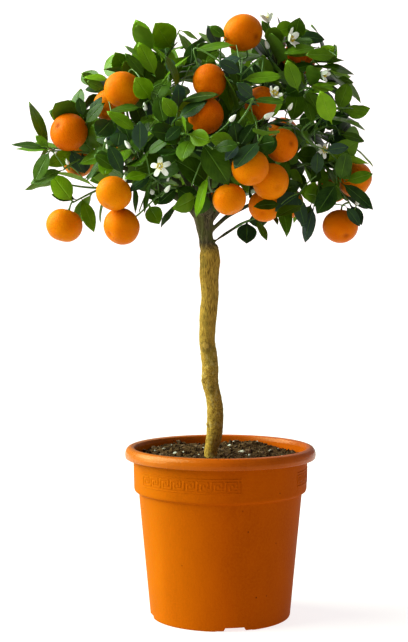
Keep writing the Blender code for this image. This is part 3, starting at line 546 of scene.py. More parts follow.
# Each kind: name, its lump's seed, flatness and roughness, then how many, the smallest and largest
# size and how much of one shows, the large ones, and the finish.
GRAINS = (
    ("soil_crumbs", (3.1, 0.8, 0.9), (2300, 0.0006, 0.0026, 0.25), [], humus),
    ("bark_chips", (8.4, 0.35, 0.7), (90, 0.0016, 0.0046, 0.35), [], dry_chips),
    ("perlite_grains", (5.7, 0.8, 0.7), (75, 0.0005, 0.0018, 0.45), big_grains(), white),
)
for name, knocked, laid, large, made in GRAINS:
    piece = copies(name, lump("grain", *knocked), grain_spots(*laid) + large)
    piece.data.materials.append(made.material)
    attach(piece, "root")

# Trunk: one grown piece of wood with its graft swelling and limbs, under thin bark with lengthwise
# fibres. Rods of its own thickness run along it and every limb, are grown together and roughened.
# Height, across, back and radius.
TRUNK = (
    (118, -11, 0, 7.8), (184, -11, 0, 7.8), (198, -9, 1, 8.4), (209, -7, 1, 9.5), (235, -6, 2, 9.6),
    (253, -8, 2, 9.0), (271, -12, 1, 9.6), (293, -12, 0, 9.6), (315, -15, -1, 9.3),
    (330, -15, -1, 9.4), (348, -14, 0, 10.2), (370, -12, 1, 10.0), (392, -13, 1, 11.2),
    (409, -12, 0, 12.0), (421, -13, 0, 11.0), (426, -15, 0, 8.9), (438, -17, 0, 8.2),
    (456, -19, 0, 10.6), (468, -20, 0, 11.6),
)
# Name, the limb it leaves and at which share of that limb, places, first and last radius.
LIMBS = (
    ("a", None, 0, ((-21, 0, 456), (-41, 0, 477), (-80, -10, 498), (-121, -15, 521)), 6.2, 2.3),
    ("b", None, 0, ((-22, 1, 456), (-33, 2, 490), (-56, 5, 534), (-78, 0, 574)), 5.2, 2.1),
    ("c", None, 0, ((-19, 2, 456), (-15, 2, 499), (-10, 10, 546), (-3, 5, 597)), 6.0, 2.1),
    ("d", None, 0, ((-17, 0, 456), (2, 0, 496), (34, 0, 540), (63, 0, 586)), 5.5, 2.1),
    ("e", None, 0, ((-17, 0, 452), (9, 0, 479), (47, -5, 499), (88, -5, 517)), 5.0, 2.1),
    ("f", None, 0, ((-20, -3, 456), (-23, -25, 481), (-33, -54, 508), (-43, -76, 529)), 4.5, 2.0),
    ("g", None, 0, ((-17, -3, 456), (-5, -25, 482), (2, -45, 496), (14, -60, 507)), 4.2, 2.0),
    ("h", None, 0, ((-21, 3, 456), (-35, 30, 485), (-62, 65, 515), (-84, 90, 540)), 5.0, 2.1),
    ("i", None, 0, ((-17, 3, 456), (-6, 30, 485), (28, 65, 519), (51, 95, 548)), 5.0, 2.1),
    ("j", None, 0, ((-15, 0, 439), (6, -2, 459), (27, -10, 470), (42, -20, 477)), 3.1, 2.0),
    ("k", None, 0, ((-15, 0, 426), (4, -2, 439), (18, -4, 448)), 1.9, 1.7),
    ("a_low", "a", 0.62, ((-127, 0, 495),), 2.8, 2.0),
    ("a_front", "a", 0.40, ((-88, -45, 521),), 3.0, 2.0),
    ("b_left", "b", 0.55, ((-98, 14, 566),), 2.6, 2.0),
    ("b_back", "b", 0.60, ((-65, 50, 598),), 2.6, 2.0),
    ("c_front", "c", 0.55, ((8, -30, 567),), 2.8, 2.0),
    ("c_back", "c", 0.60, ((23, 50, 604),), 2.8, 2.0),
    ("d_top", "d", 0.60, ((48, 5, 593),), 2.6, 2.0),
    ("e_up", "e", 0.62, ((92, -10, 541),), 2.8, 2.0),
    ("f_left", "f", 0.50, ((-50, -55, 532),), 2.6, 2.0),
    ("f_low", "f", 0.25, ((-46, -45, 490),), 2.6, 2.0),
    ("g_front", "g", 0.40, ((-8, -62, 487),), 2.4, 2.0),
    ("h_mid", "h", 0.50, ((-24, 95, 531),), 2.8, 2.0),
)


def at(place):
    """A place in the lists, in metres from the origin."""
    return Vector(place) * MM + POT_AXIS


def smooth_path(corners, count):
    """Points along a curve through the corners, evenly by share of the way."""
    knots = [corners[0] * 2 - corners[1]] + list(corners) + [corners[-1] * 2 - corners[-2]]
    spans = len(corners) - 1
    path = []
    for k in range(count):
        place = spans * k / (count - 1)
        span = min(int(place), spans - 1)
        t = place - span
        a, b, c, d = knots[span : span + 4]
        point = b * 2 + (c - a) * t + (a * 2 - b * 5 + c * 4 - d) * t * t
        point += (b * 3 - a - c * 3 + d) * t * t * t
        path.append(point * 0.5)
    return path


def bent_path(start, bend, end, count):
    """Points on a curve from start to end, drawn towards the bend."""
    path = []
    for k in range(count):
        t = k / (count - 1)
        path.append(start * (1 - t) ** 2 + bend * 2 * t * (1 - t) + end * t * t)
    return path


def along(path, share):
    """The place at a share of the way along a path."""
    place = share * (len(path) - 1)
    k = min(int(place), len(path) - 2)
    return path[k].lerp(path[k + 1], place - k)


def tapered(path, start, end):
    """A radius for each point of a path, evenly from the first to the last."""
    last = len(path) - 1
    return [start + (end - start) * k / last for k in range(last + 1)]


def rods(name, runs, roundness):
    """Closed round rods in one mesh, each along a run of points with its radii."""
    line = bpy.data.curves.new(name, "CURVE")
    line.dimensions = "3D"
    line.bevel_depth = 1.0
    line.bevel_resolution = roundness
    line.use_fill_caps = True
    for points, radii in runs:
        run = line.splines.new("POLY")
        run.points.add(len(points) - 1)
        for spot, place, radius in zip(run.points, points, radii):
            spot.co = (*place, 1.0)
            spot.radius = radius
    only(linked(name, line))
    bpy.ops.object.convert(target="MESH")
    bpy.ops.object.mode_set(mode="EDIT")
    bpy.ops.mesh.select_all(action="SELECT")
    bpy.ops.mesh.remove_doubles(threshold=0.00001)
    closed_up()
    return bpy.context.object


def held(share):
    """A share held between 0 and 1."""
    return min(1.0, max(0.0, share))


GRAFT_TOP = 424
FORK_ACROSS = -17
CRUMBLED_BELOW = 340
VOXEL = 0.0011
# Scars and swellings of the trunk: place, reach and how far each stands out.
KNOBS = (
    (-17.2, -9.0, 311.8, 5.6, 1.1), (-5.2, -8, 292.3, 2.8, 0.8), (-20.5, -4, 271.7, 2.2, 0.9),
    (1.0, -5, 236.0, 2.6, 1.0), (-14.8, -3, 221.0, 1.8, 2.4), (-3.0, -3, 258.0, 2.5, 0.8),
    (-21.5, 3, 300.0, 3.0, 1.0), (-11.0, -9, 262.0, 3.4, 0.8), (-6.0, 9, 340.0, 3.5, 0.9),
    (-14.0, 11, 252.0, 3.0, 1.0), (-23.5, -6, 404.0, 3.0, 0.8), (0.0, 2, 372.0, 2.6, 0.8),
    (-12.0, 12, 398.0, 3.4, 0.9),
)
limbs = {}
rows = smooth_path([Vector((x, y, z, r)) for z, x, y, r in TRUNK], 4 * len(TRUNK))
wood = [([row.to_3d() * MM + POT_AXIS for row in rows], [row.w * MM for row in rows])]
for name, parent, share, places, start, end in LIMBS:
    corners = [at(place) for place in places]
    if parent:
        fork = along(limbs[parent], share)
        ahead = along(limbs[parent], share + 0.15) - fork
        bend = fork + ahead.normalized() * (corners[0] - fork).length * 0.4
        limbs[name] = bent_path(fork, bend, corners[0], 13)
    else:
        limbs[name] = smooth_path(corners, 17 if len(corners) > 3 else 13)
    wood.append((limbs[name], tapered(limbs[name], start * MM, end * MM)))
trunk = rods("trunk_wood", wood, 6)
applied(trunk, "REMESH", mode="VOXEL", voxel_size=VOXEL)
applied(trunk, "SMOOTH", factor=0.5, iterations=4)
shifts = []
marks = {"young": [], "scar": []}
for vertex in trunk.data.vertices:
    place = vertex.co
    spot = (place - POT_AXIS) / MM
    forked = spot.z > GRAFT_TOP
    young = held((math.hypot(spot.x - FORK_ACROSS, spot.y) - 13) / 9) if forked else 0.0
    lower = held((CRUMBLED_BELOW - spot.z) / 50)
    scar = sum(math.exp(-(((spot - Vector(knob[:3])).length / knob[3]) ** 2)) * knob[4] for knob in KNOBS)
    scar *= 1 + 1.1 * noise.noise(place * 520)
    ridge = noise.noise(Vector((place.x * 420, place.y * 420, place.z * 50)))
    knot = noise.noise(place * 95)
    ring = noise.noise(Vector((place.x * 90, place.y * 90, place.z * 480)))
    crumb = noise.noise(place * 300)
    move = 0.00013 * ridge + 0.0005 * knot + 0.00010 * ring + 0.00050 * lower * crumb
    if forked:
        flute = math.sin(9 * math.atan2(spot.y, spot.x - FORK_ACROSS) + 2.5 * noise.noise(place * 60))
        move = move * (1 - 0.7 * young) + 0.0007 * (1 - young) * flute
    shifts.append(vertex.normal * (move + 0.001 * scar))
    marks["young"].append(young)
    marks["scar"].append(held(scar))
for vertex, shift in zip(trunk.data.vertices, shifts):
    vertex.co += shift


def mark(piece, name, values):
    """Gives each point of a piece a number that its finish reads."""
    piece.data.attributes.new(name, "FLOAT", "POINT").data.foreach_set("value", values)


for name, values in marks.items():
    mark(trunk, name, values)
trunk.data.shade_smooth()


def attribute(made, name):
    """A number that each point of the mesh carries."""
    return made.node("Attribute", {}, "Fac", attribute_name=name)


bark = Finish("young citrus bark", 0.8, 0.12)
low = range_of(bark, axis(bark, "Object", "Z"), 0.29, 0.35, 1, 0)
high = range_of(bark, axis(bark, "Object", "Z"), 0.418, 0.430)
strand = bark.noise(1150.0, 4.0, (1, 1, 0.13), 0.55)
grain = bark.noise(820.0, 5.0, (1, 1, 0.7), 0.7)
patch = bark.noise(75.0, 4.0, (1, 1, 0.5))
cells = bark.noise(210.0, 3.0, (1, 1, 0.7))
scar = attribute(bark, "scar")
relief = bark.node("Mix", {"Factor": low, "A": strand, "B": grain})
colour = mottled(bark, relief, (0.134, 0.074, 0.009), (0.485, 0.295, 0.047), 0.36, 0.64)
colour = mottled(bark, patch, colour, (0.15, 0.115, 0.016), 0.48, 0.62, 0.5)
pale = maths(bark, "MULTIPLY", range_of(bark, cells, 0.52, 0.66, 0, 0.6), low)
colour = bark.mix(pale, colour, (0.43, 0.31, 0.11))
colour = mottled(bark, scar, colour, (0.10, 0.06, 0.010), 0.10, 0.35, 0.5)
colour = mottled(bark, scar, colour, (0.48, 0.30, 0.065), 0.45, 0.85, 0.6)
old_wood = mottled(bark, relief, (0.026, 0.021, 0.011), (0.165, 0.130, 0.070), 0.36, 0.64)
old_wood = mottled(bark, patch, old_wood, (0.085, 0.088, 0.020), 0.50, 0.62, 0.7)
skin = mottled(bark, patch, (0.026, 0.034, 0.012), (0.062, 0.070, 0.026), 0.35, 0.65)
colour = bark.mix(high, colour, old_wood)
bark.set({"Base Color": bark.mix(attribute(bark, "young"), colour, skin)})
bump(bark, relief, 0.0007, 0.9)
trunk.data.materials.append(bark.material)
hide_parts("trunk")
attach(trunk, "root")

# Green twigs and stalks: this year's smooth shoots, each growing on from the end of a limb, with the
# stalks of its fruits and flowers. A fruit hangs from a five-lobed green button.
# The limb that a spray grows on from, and the ends of its twigs.
SPRAYS = {
    "far_left": ("a", ((-194, -22, 533), (-170, 0, 577), (-175, -48, 510))),
    "left_low": ("a_low", ((-167, -22, 475), (-184, -5, 499))),
    "left_front": ("a_front", ((-119, -75, 563), (-90, -97, 548), (-126, -76, 522))),
    "upper_left": ("b_left", ((-139, 12, 611), (-106, 18, 634))),
    "top_left": ("b", ((-80, -10, 644), (-56, 10, 652))),
    "front_left": ("f_left", ((-80, -80, 592), (-48, -112, 561))),
    "front_low_left": ("f_low", ((-80, -60, 471), (-78, -92, 503))),
    "front_mid": ("f", ((-46, -92, 590), (-36, -132, 543), (-10, -142, 526))),
    "front_low": ("g_front", ((-14, -110, 502), (-43, -72, 474))),
    "top": ("c", ((0, 5, 652), (-30, 22, 640))),
    "top_right": ("d_top", ((61, 0, 657), (86, -8, 664))),
    "right_upper": ("d", ((124, 5, 627), (115, -2, 650), (102, -45, 600))),
    "front_upper": ("c_front", ((22, -74, 613), (35, -97, 584))),
    "front_right": ("g", ((42, -134, 540), (15, -136, 530))),
    "right": ("e_up", ((142, -10, 573), (114, -52, 574), (146, 5, 543))),
    "right_low": ("e", ((147, -18, 473), (130, -34, 522), (104, -38, 470))),
    "low_right": ("j", ((88, -52, 484), (58, -30, 486))),
    "low_twig": ("k", ((40, -10, 458),)),
    "back_left": ("h", ((-162, 100, 550), (-130, 92, 497), (-146, 80, 590))),
    "back_top_left": ("b_back", ((-98, 92, 640), (-35, 100, 662))),
    "back_top_right": ("c_back", ((37, 108, 652), (103, 92, 622))),
    "back_right": ("i", ((133, 95, 543), (88, 112, 496))),
    "back_middle": ("h_mid", ((-24, 165, 588), (-72, 150, 520), (33, 160, 527))),
}
# Middle, diameter, the way the stalk leaves, and the spray.
FRUITS = {
    "top": ((25, -10, 667), 45, (0.2, 0.3, -0.8), "top"),
    "upper_left": ((-108, -60, 597), 42, (0.3, 0.5, 1), "front_left"),
    "far_left": ((-170, -35, 553), 43, (0.6, 0.8, -0.5), "far_left"),
    "low_far_left": ((-175, -40, 449), 41, (0.3, 0.1, 1), "left_low"),
    "low_left": ((-116, -95, 482), 39, (0.5, 0.6, 1), "left_front"),
    "low_left_under": ((-109, -74, 447), 41, (0.8, 0.7, 0.6), "front_low_left"),
    "left_behind": ((-165, 12, 525), 40, (0.7, 0.1, 0.6), "far_left"),
    "upper_middle": ((-13, -70, 605), 38, (0.6, 0.6, 0.2), "front_upper"),
    "middle": ((-17, -96, 565), 40, (-0.7, 0.6, 0.2), "front_mid"),
    "middle_right": ((44, -45, 584), 38, (-0.7, -0.2, 0.4), "front_upper"),
    "right_front": ((66, -75, 535), 37, (-0.8, 0.6, 0.3), "front_right"),
    "front": ((30, -122, 508), 40, (-0.3, 0.7, 0.9), "front_right"),
    "front_under": ((53, -92, 495), 40, (-0.5, 0.9, 0.4), "front_right"),
    "front_low": ((8, -112, 475), 36, (-0.3, 0.3, 1), "front_low"),
    "low_middle": ((48, -60, 470), 36, (0.2, 0.9, 0.6), "low_right"),
    "low_behind": ((76, -14, 474), 37, (-0.8, 0.2, 0.7), "low_right"),
    "far_right": ((152, -20, 501), 40, (-0.8, 0.1, 0.5), "right_low"),
    "right_behind": ((132, 24, 496), 39, (-0.4, -0.7, 0.5), "right_low"),
    "low_right": ((134, -35, 448), 40, (0.1, 0.4, 1), "right_low"),
    "upper_right": ((91, 18, 643), 39, (0.2, -0.9, -0.5), "right_upper"),
    "left_upper_behind": ((-126, -12, 585), 37, (0.2, 0.9, 0.5), "upper_left"),
    "back_left": ((-112, 128, 552), 41, (0.2, -0.7, 0.2), "back_left"),
    "back_top": ((14, 140, 602), 42, (-0.8, -0.1, 0.2), "back_middle"),
    "back_right": ((78, 132, 566), 40, (0.1, -0.8, -0.2), "back_right"),
    "back_low": ((-14, 152, 484), 41, (0.2, -0.3, 1), "back_middle"),
}
# Place, the way it faces, how far it is open in degrees (0 is a closed bud), and the spray.
BLOSSOMS = {
    "blossom_front": ((-65, -112, 509), (-0.1, -1, 0.15), 78, "front_low_left"),
    "blossom_top": ((75, -28, 656), (0.8, -0.5, 0.2), 34, "top_right"),
    "blossom_top_upright": ((54, -8, 679), (-0.2, -0.3, 1), 22, "top_right"),
    "blossom_right": ((112, -28, 620), (0.85, -0.3, -0.4), 24, "right_upper"),
    "blossom_middle": ((55, -80, 588), (0.5, -0.7, 0.5), 30, "front_upper"),
    "blossom_right_low": ((112, -52, 531), (0.4, -0.9, 0.1), 66, "right"),
    "bud_middle": ((8, -128, 556), (0.6, -0.4, 0.6), 0, "front_mid"),
    "bud_left": ((-98, -103, 530), (-0.5, -0.4, 0.7), 0, "left_front"),
    "bud_low": ((-61, -88, 484), (0.5, -0.5, 0.6), 0, "front_low_left"),
}
# Place, the way it points, and its size beside the closed buds above.
SMALL_BUDS = (
    ((-82, -82, 572), (-0.2, -0.3, 1), 0.9), ((-53, -112, 546), (0.1, -1, 0.5), 0.45),
    ((-190, -34, 533), (-0.4, -0.8, -0.2), 0.55), ((-186, -37, 530), (0.4, -0.8, -0.4), 0.5),
    ((-170, -45, 516), (-0.3, -0.4, 1), 0.7), ((-123, -88, 530), (-0.2, -0.5, 1), 0.6),
    ((-126, -84, 538), (0.3, -0.5, 0.9), 0.5), ((-104, -100, 494), (0, -0.4, 1), 0.8),
    ((-74, -72, 483), (-0.5, -0.5, 0.4), 1.05), ((-59, -78, 496), (0.4, -0.5, 0.9), 0.55),
    ((54, -12, 649), (-0.4, -0.4, 1), 1.0), ((46, -90, 563), (0.9, -0.4, 0.5), 1.25),
    ((74, -62, 575), (0.4, -0.5, 0.7), 0.9), ((75, -55, 562), (0.6, -0.6, 0.3), 0.6),
    ((153, -24, 472), (0.3, -0.5, 1), 1.0), ((125, -30, 551), (-0.3, -0.6, 0.8), 0.55),
    ((92, 60, 640), (0.5, 0.6, 0.7), 0.9), ((-60, 118, 640), (-0.3, 0.8, 0.6), 1.0),
    ((-20, 168, 560), (0.2, 1, 0.3), 1.1), ((110, 112, 560), (0.6, 0.8, 0.2), 0.9),
    ((-150, 112, 566), (-0.5, 0.8, 0.3), 1.0),
)
FRUIT_SQUAT = 0.93
STEM_DIMPLE = 0.13
NAVEL_DIMPLE = 0.05
TWIG_FORKS = (0.22, 0.42)

twigs = {}
for name, (limb, ends) in SPRAYS.items():
    heading = (limbs[limb][-1] - limbs[limb][-2]).normalized()
    begin = limbs[limb][-1] + heading * 0.003
    end = at(ends[0])
    reach = (end - begin).length
    first = [begin - heading * 0.004] + bent_path(begin, begin + heading * reach * 0.35, end, 13)
    twigs[name] = [first]
    for fork, place in zip(TWIG_FORKS, ends[1:]):
        begin = along(first, fork)
        end = at(place)
        onward = (along(first, fork + 0.2) - begin).normalized()
        bend = begin.lerp(end, 0.4) + onward * (end - begin).length * 0.16
        twigs[name].append(bent_path(begin, bend, end, 13))


def nearest_start(paths, target):
    """Of places spaced along some paths, the one nearest to a target."""
    spots = [along(path, 0.10 + 0.04 * k) for path in paths for k in range(23)]
    return min(spots, key=lambda spot: (spot - target).length)


def turn_to(way):
    """The turn that brings +Z to a way, as a 4 x 4 matrix."""
    return Vector((0, 0, 1)).rotation_difference(way).to_matrix().to_4x4()


runs = []
cups = []


def grow_stalk(paths, seat, way, radius, button, cup):
    """A stalk from the nearest twig to a seat, swelling into a button, and its calyx's place."""
    above = seat + way * 0.0063
    start = nearest_start(paths, above + way * 0.004)
    reach = (above - start).length
    path = bent_path(start, above + way * reach * 0.35, above, 11)
    radii = [radius * 1.15] * 4 + [radius] * 7
    for height, share in ((0.0032, 1.2), (0.0016, 0.55 * button / radius), (0.0003, 0.85 * button / radius)):
        path.append(seat + way * height)
        radii.append(radius * share)
    runs.append((path, radii))
    cups.append(Matrix.Translation(seat) @ turn_to(way) @ Matrix.Scale(cup, 4))


for paths in twigs.values():
    for k, path in enumerate(paths):
        runs.append((path, tapered(path, 0.0017 if k == 0 else 0.0014, 0.0009)))
for place, diameter, way, spray in FRUITS.values():
    way = Vector(way).normalized()
    seat = at(place) + way * diameter * MM / 2 * (1 - STEM_DIMPLE) * FRUIT_SQUAT
    grow_stalk(twigs[spray], seat, way, radius=0.0010, button=0.0026, cup=0.0044)
for place, way, opening, spray in BLOSSOMS.values():
    below = Vector(way).normalized() * -1
    grow_stalk(twigs[spray], at(place), below, radius=0.0007, button=0.0016, cup=0.0024)
every_twig = [path for paths in twigs.values() for path in paths]
for place, way, size in SMALL_BUDS:
    below = Vector(way).normalized() * -1
    grow_stalk(every_twig, at(place), below, radius=0.0006, button=0.0013, cup=0.0021 * size)
shoots = rods("green_twigs", runs, 2)
smoothed(shoots, 60)

# Radius and height, for a calyx of radius 1.
CALYX_OUTLINE = ((0.25, 0.42), (0.42, 0.32), (0.75, 0.10), (0.95, -0.06), (0.70, -0.01), (0.30, -0.03))
star = drawn("calyx", [(Vector((0, 0, z)), r) for r, z in CALYX_OUTLINE], 20)
for vertex in star.data.vertices:
    turn = math.atan2(vertex.co.y, vertex.co.x)
    reach = vertex.co.xy.length
    lobe = 1 + 0.42 * max(0.0, reach - 0.45) * (math.cos(5 * turn) - 0.4) / 0.5
    vertex.co.x *= lobe
    vertex.co.y *= lobe
    vertex.co.z -= 0.10 * reach * reach
star.data.shade_smooth()
calyxes = copies("green_calyxes", star, cups)

green = Finish("green shoot skin", 0.42)
streaks = green.noise(160.0, 3.0, (1, 1, 0.4))
cloudy(green, streaks, (0.045, 0.125, 0.012), (0.13, 0.24, 0.035), 0.0003, 0.5)
for piece in (shoots, calyxes):
    piece.data.materials.append(green.material)
    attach(piece, "root")

# Leaves: pointed oval blades on short petioles, glossy above and paler beneath, folded along a
# sunken midrib. Each packed blade gives its place, and one modelled leaf is bent along every midrib.
LEAF_ROWS = (0.0, 0.07, 0.13, 0.22, 0.34, 0.48, 0.62, 0.76, 0.89, 1.0)
LEAF_OUTLINE = (0.055, 0.06, 0.15, 0.57, 0.87, 1.0, 0.96, 0.77, 0.41, 0.0)
LEAF_KNOTS = (0.16, 0.46, 0.78, 1.0)
BLADE_THICK = 0.00055
WAVES = (0.0003, 0.0012)
# Tips, across and up, of packed leaves that are lime on the photographed side, and of dark ones.
LIME_TIPS = (
    (-61, 579), (-13, 533), (-28, 456), (113, 598), (168, 581), (-214, 590), (-103, 499), (-97, 684),
    (-92, 665), (-72, 672), (-46, 675), (-118, 642), (-155, 623), (-123, 571), (-90, 602), (94, 603),
    (127, 649), (153, 614), (153, 625), (132, 611), (169, 511), (31, 485), (-39, 649), (-191, 507),
)
DARK_TIPS = (
    (119, 661), (-154, 508), (8, 559), (17, 597), (-3, 625), (-17, 582), (146, 538),
    (12, 507), (57, 536), (174, 471), (159, 450), (61, 465), (95, 447), (29, 430), (-23, 474),
    (-70, 472), (-99, 486), (-133, 544), (-112, 534), (-174, 516), (11, 506), (-40, 462),
)


def strip_model(name, rows, columns=4):
    """A closed thin strip of rows by columns, its top and underside meeting at the margin and tip."""
    last = len(rows) - 1
    made = begun(name, bpy.ops.mesh.primitive_grid_add, x_subdivisions=columns, y_subdivisions=last, size=2)
    bpy.ops.object.mode_set(mode="EDIT")
    bpy.ops.mesh.duplicate()
    bpy.ops.mesh.flip_normals()
    bpy.ops.transform.translate(value=(0, 0, -1))
    bpy.ops.object.mode_set(mode="OBJECT")
    sheet = made.data.uv_layers[0]
    for face in made.data.polygons:
        face.material_index = 1 if face.normal.z < 0 else 0
    for corner in made.data.loops:
        place = made.data.vertices[corner.vertex_index].co
        sheet.data[corner.index].uv = ((place.x + 1) / 2, rows[round((place.y + 1) / 2 * last)])
    for vertex in made.data.vertices:
        share = rows[round((vertex.co.y + 1) / 2 * last)]
        thin = share in (rows[0], 1.0) or abs(vertex.co.x) > 0.99
        depth = 0.0 if thin else (0.5 if vertex.co.z > -0.5 else -0.5)
        vertex.co = (0.0 if share == 1.0 else vertex.co.x, share, depth)
    bpy.ops.object.mode_set(mode="EDIT")
    bpy.ops.mesh.select_all(action="SELECT")
    bpy.ops.mesh.remove_doubles(threshold=0.0001)
    bpy.ops.object.mode_set(mode="OBJECT")
    smoothed(made, 60)
    return made


def between(knots, values, place):
    """A value at a place on the smooth curve through the values at the knots."""
    total = None
    for k, value in enumerate(values):
        weight = 1.0
        for j, knot in enumerate(knots):
            if j != k:
                weight *= (place - knot) / (knots[k] - knot)
        total = value * weight if total is None else total + value * weight
    return total


def packed_leaves(spray):
    """Each blade of a packed spray: four places on its midrib, its side, half breadth and lift."""
    shape = bmesh.new()
    shape.from_mesh(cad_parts["spray_" + spray].data)
    bmesh.ops.remove_doubles(shape, verts=shape.verts, dist=0.00001)
    found = []

    def ring_of(spots):
        """A ring's midrib place and its two edge places, if the four spots are a ring."""
        if len(spots) != 4:
            return None
        for a in spots:
            for b in spots:
                if a.index < b.index and abs((a.co - b.co).length - 0.0012) < 0.00003:
                    edges = [v.co for v in spots if v not in (a, b)]
                    return (a.co + b.co) / 2, edges[0], edges[1]
        return None

    shape.verts.index_update()
    for tip in shape.verts:
        third = {edge.other_vert(tip) for edge in tip.link_edges}
        rings = [ring_of(third)]
        if not rings[0]:
            continue
        second = {e.other_vert(v) for v in third for e in v.link_edges} - third - {tip}
        rings.append(ring_of(second))
        first = {e.other_vert(v) for v in second for e in v.link_edges} - third - second
        rings.append(ring_of(first))
        if not rings[1] or not rings[2]:
            continue
        ribs = [rings[2][0], rings[1][0], rings[0][0], tip.co]
        middle, edge_a, edge_b = rings[1]
        lift = (edge_a + edge_b) / 2 - middle
        side = (edge_a - edge_b).normalized()
        ahead = (ribs[2] - ribs[0]).normalized()
        if side.cross(ahead).dot(lift) < 0:
            side.negate()
        found.append(([rib.copy() for rib in ribs], side, (edge_a - edge_b).length / 2, lift.length))
    shape.free()
    return found


def grown_leaf(root, way, face, length, width, arch, fold):
    """The same for a new blade from its root: midrib places, side, half breadth and lift."""
    side = way.cross(face).normalized()
    ribs = []
    for share in LEAF_KNOTS:
        turn = arch * share
        ribs.append(root + way * length * math.sin(turn) / arch - face * length * (1 - math.cos(turn)) / arch)
    half = width / 2
    return ribs, side, half * math.cos(fold), half * math.sin(fold)


class Blade:
    """A leaf or petal bent along its midrib: gives the place of each point of the modelled strip."""

    def __init__(self, leaf, outline, thick, wave, phase, root=None):
        self.ribs, self.side, self.half, self.lift = leaf
        self.outline, self.thick, self.wave, self.phase, self.root = outline, thick, wave, phase, root

    def place(self, spot):
        """Where a point of the strip comes to lie."""
        across, share, depth = spot
        rib = between(LEAF_KNOTS, self.ribs, share)
        ahead = between(LEAF_KNOTS, self.ribs, share + 0.03) - between(LEAF_KNOTS, self.ribs, share - 0.03)
        up = self.side.cross(ahead).normalized()
        broad = stepwise(LEAF_ROWS, self.outline, share)
        if self.root and share < 0.12:
            rib = self.root.lerp(rib, share / 0.12)
        half = self.half * broad
        ripple = self.wave * math.sin(share * 9 + self.phase + (1.6 if across > 0 else 0)) * across * across
        rise = self.lift * broad * abs(across) ** 1.4 + ripple * broad
        curl = -0.10 * self.half * broad * across ** 4
        thick = self.thick * (1.0 + 1.2 * max(0.0, 0.3 - share)) * (1.25 - 0.4 * abs(across))
        return rib + self.side * across * half + up * (rise + curl + depth * thick)


def bent_copies(name, model, blades, tints, *finishes):
    """One mesh with a copy of the modelled strip for each blade, and its tint."""
    shape = bmesh.new()
    tint = shape.verts.layers.float.new("tint")
    for blade, value in zip(blades, tints):
        start = len(shape.verts)
        shape.from_mesh(model.data)
        shape.verts.ensure_lookup_table()
        for vertex in shape.verts[start:]:
            vertex.co = blade.place(vertex.co)
            vertex[tint] = value
    mesh = bpy.data.meshes.new(name)
    shape.to_mesh(mesh)
    shape.free()
    for finishing in finishes:
        mesh.materials.append(finishing)
    return linked(name, mesh)


def leaf_skin(name, roughness, gloss):
    """A side of a leaf, which glows yellow-green where the light stands behind it: its tint, its cloud."""
    made = Finish(name, roughness, gloss)
    made.set({"Subsurface Weight": 0.12, "Subsurface Radius": (0.5, 1.0, 0.06), "Subsurface Scale": 0.0005})
    return made, attribute(made, "tint"), made.noise(90.0, 4.0)


leaf_model = strip_model("leaf_model", LEAF_ROWS)
leaf_top, tint, cloud = leaf_skin("glossy leaf face", 0.33, 0.13)
dark = mottled(leaf_top, cloud, (0.007, 0.026, 0.002), (0.024, 0.066, 0.002))
lime = mottled(leaf_top, cloud, (0.138, 0.275, 0.002), (0.215, 0.385, 0.005))
# Below a tint of 0 the leaf is painted bluish: a painted sheen, the reflection of the pale room on dark
# glossy leaves.
colour = mottled(leaf_top, tint, leaf_top.mix(tint, dark, lime), (0.045, 0.072, 0.062), -0.05, -1.0)
off_rib = maths(leaf_top, "ABSOLUTE", maths(leaf_top, "SUBTRACT", axis(leaf_top, "UV", "X"), 0.5))
rib = leaf_top.mix(tint, (0.10, 0.21, 0.020), (0.24, 0.40, 0.02))
colour = leaf_top.mix(range_of(leaf_top, off_rib, 0.010, 0.030, 0.6, 0), colour, rib)
slant = maths(leaf_top, "MULTIPLY_ADD", off_rib, -0.62, axis(leaf_top, "UV", "Y"))
veins = maths(leaf_top, "SINE", maths(leaf_top, "MULTIPLY", slant, 62.0))
leaf_top.set({
    "Base Color": mottled(leaf_top, veins, colour, (0.10, 0.20, 0.02), 0.90, 1.0, 0.12),
    "Roughness": range_of(leaf_top, cloud, 0.3, 0.7, 0.30, 0.46),
})
groove = range_of(leaf_top, off_rib, 0.0, 0.05)
bump(leaf_top, maths(leaf_top, "MULTIPLY_ADD", veins, -0.05, groove), 0.0006, 0.7)
leaf_back, tint, cloud = leaf_skin("pale leaf underside", 0.55, 0.1)
dark = mottled(leaf_back, cloud, (0.045, 0.100, 0.006), (0.080, 0.155, 0.012))
leaf_back.set({"Base Color": leaf_back.mix(tint, dark, (0.20, 0.34, 0.012))})
bump(leaf_back, cloud, 0.0003, 0.5)


class Crowd:
    """All that has grown so far, each thing with a ball round it, to test new leaves against."""

    def __init__(self):
        self.members = []

    def ball(self, points):
        """The middle and the reach of some points."""
        middle = sum(points, Vector()) / len(points)
        return middle, max((p - middle).length for p in points)

    def add(self, points, faces):
        """Takes in one more thing."""
        self.members.append((*self.ball(points), BVHTree.FromPolygons(points, faces)))

    def clear_of(self, points, faces):
        """Whether these faces cross nothing that has grown so far."""
        middle, reach = self.ball(points)
        tree = None
        for centre, radius, other in self.members:
            if (centre - middle).length < radius + reach:
                tree = tree or BVHTree.FromPolygons(points, faces)
                if tree.overlap(other):
                    return False
        return True


leaf_points = [v.co.copy() for v in leaf_model.data.vertices]
leaf_faces = [tuple(face.vertices) for face in leaf_model.data.polygons]
# A new leaf's faces beyond its petiole are the ones that may touch nothing.
blade_faces = [face for face in leaf_faces if min(leaf_points[i].y for i in face) > 0.1]
crowd = Crowd()
for name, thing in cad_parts.items():
    if name.startswith(("fruit", "blossom", "bud", "trunk")):
        points = [v.co.copy() for v in thing.data.vertices]
        crowd.add(points, [tuple(face.vertices) for face in thing.data.polygons])
grown = {}
draws = {}
# Up to which draw a kind of leaf goes, and the range of its tints; tints below 0 carry the painted bluish
# sheen.
TINTS = ((0.10, -0.8, -0.2), (0.48, 0.0, 0.14), (0.82, 0.14, 0.38), (1.0, 0.38, 0.75))


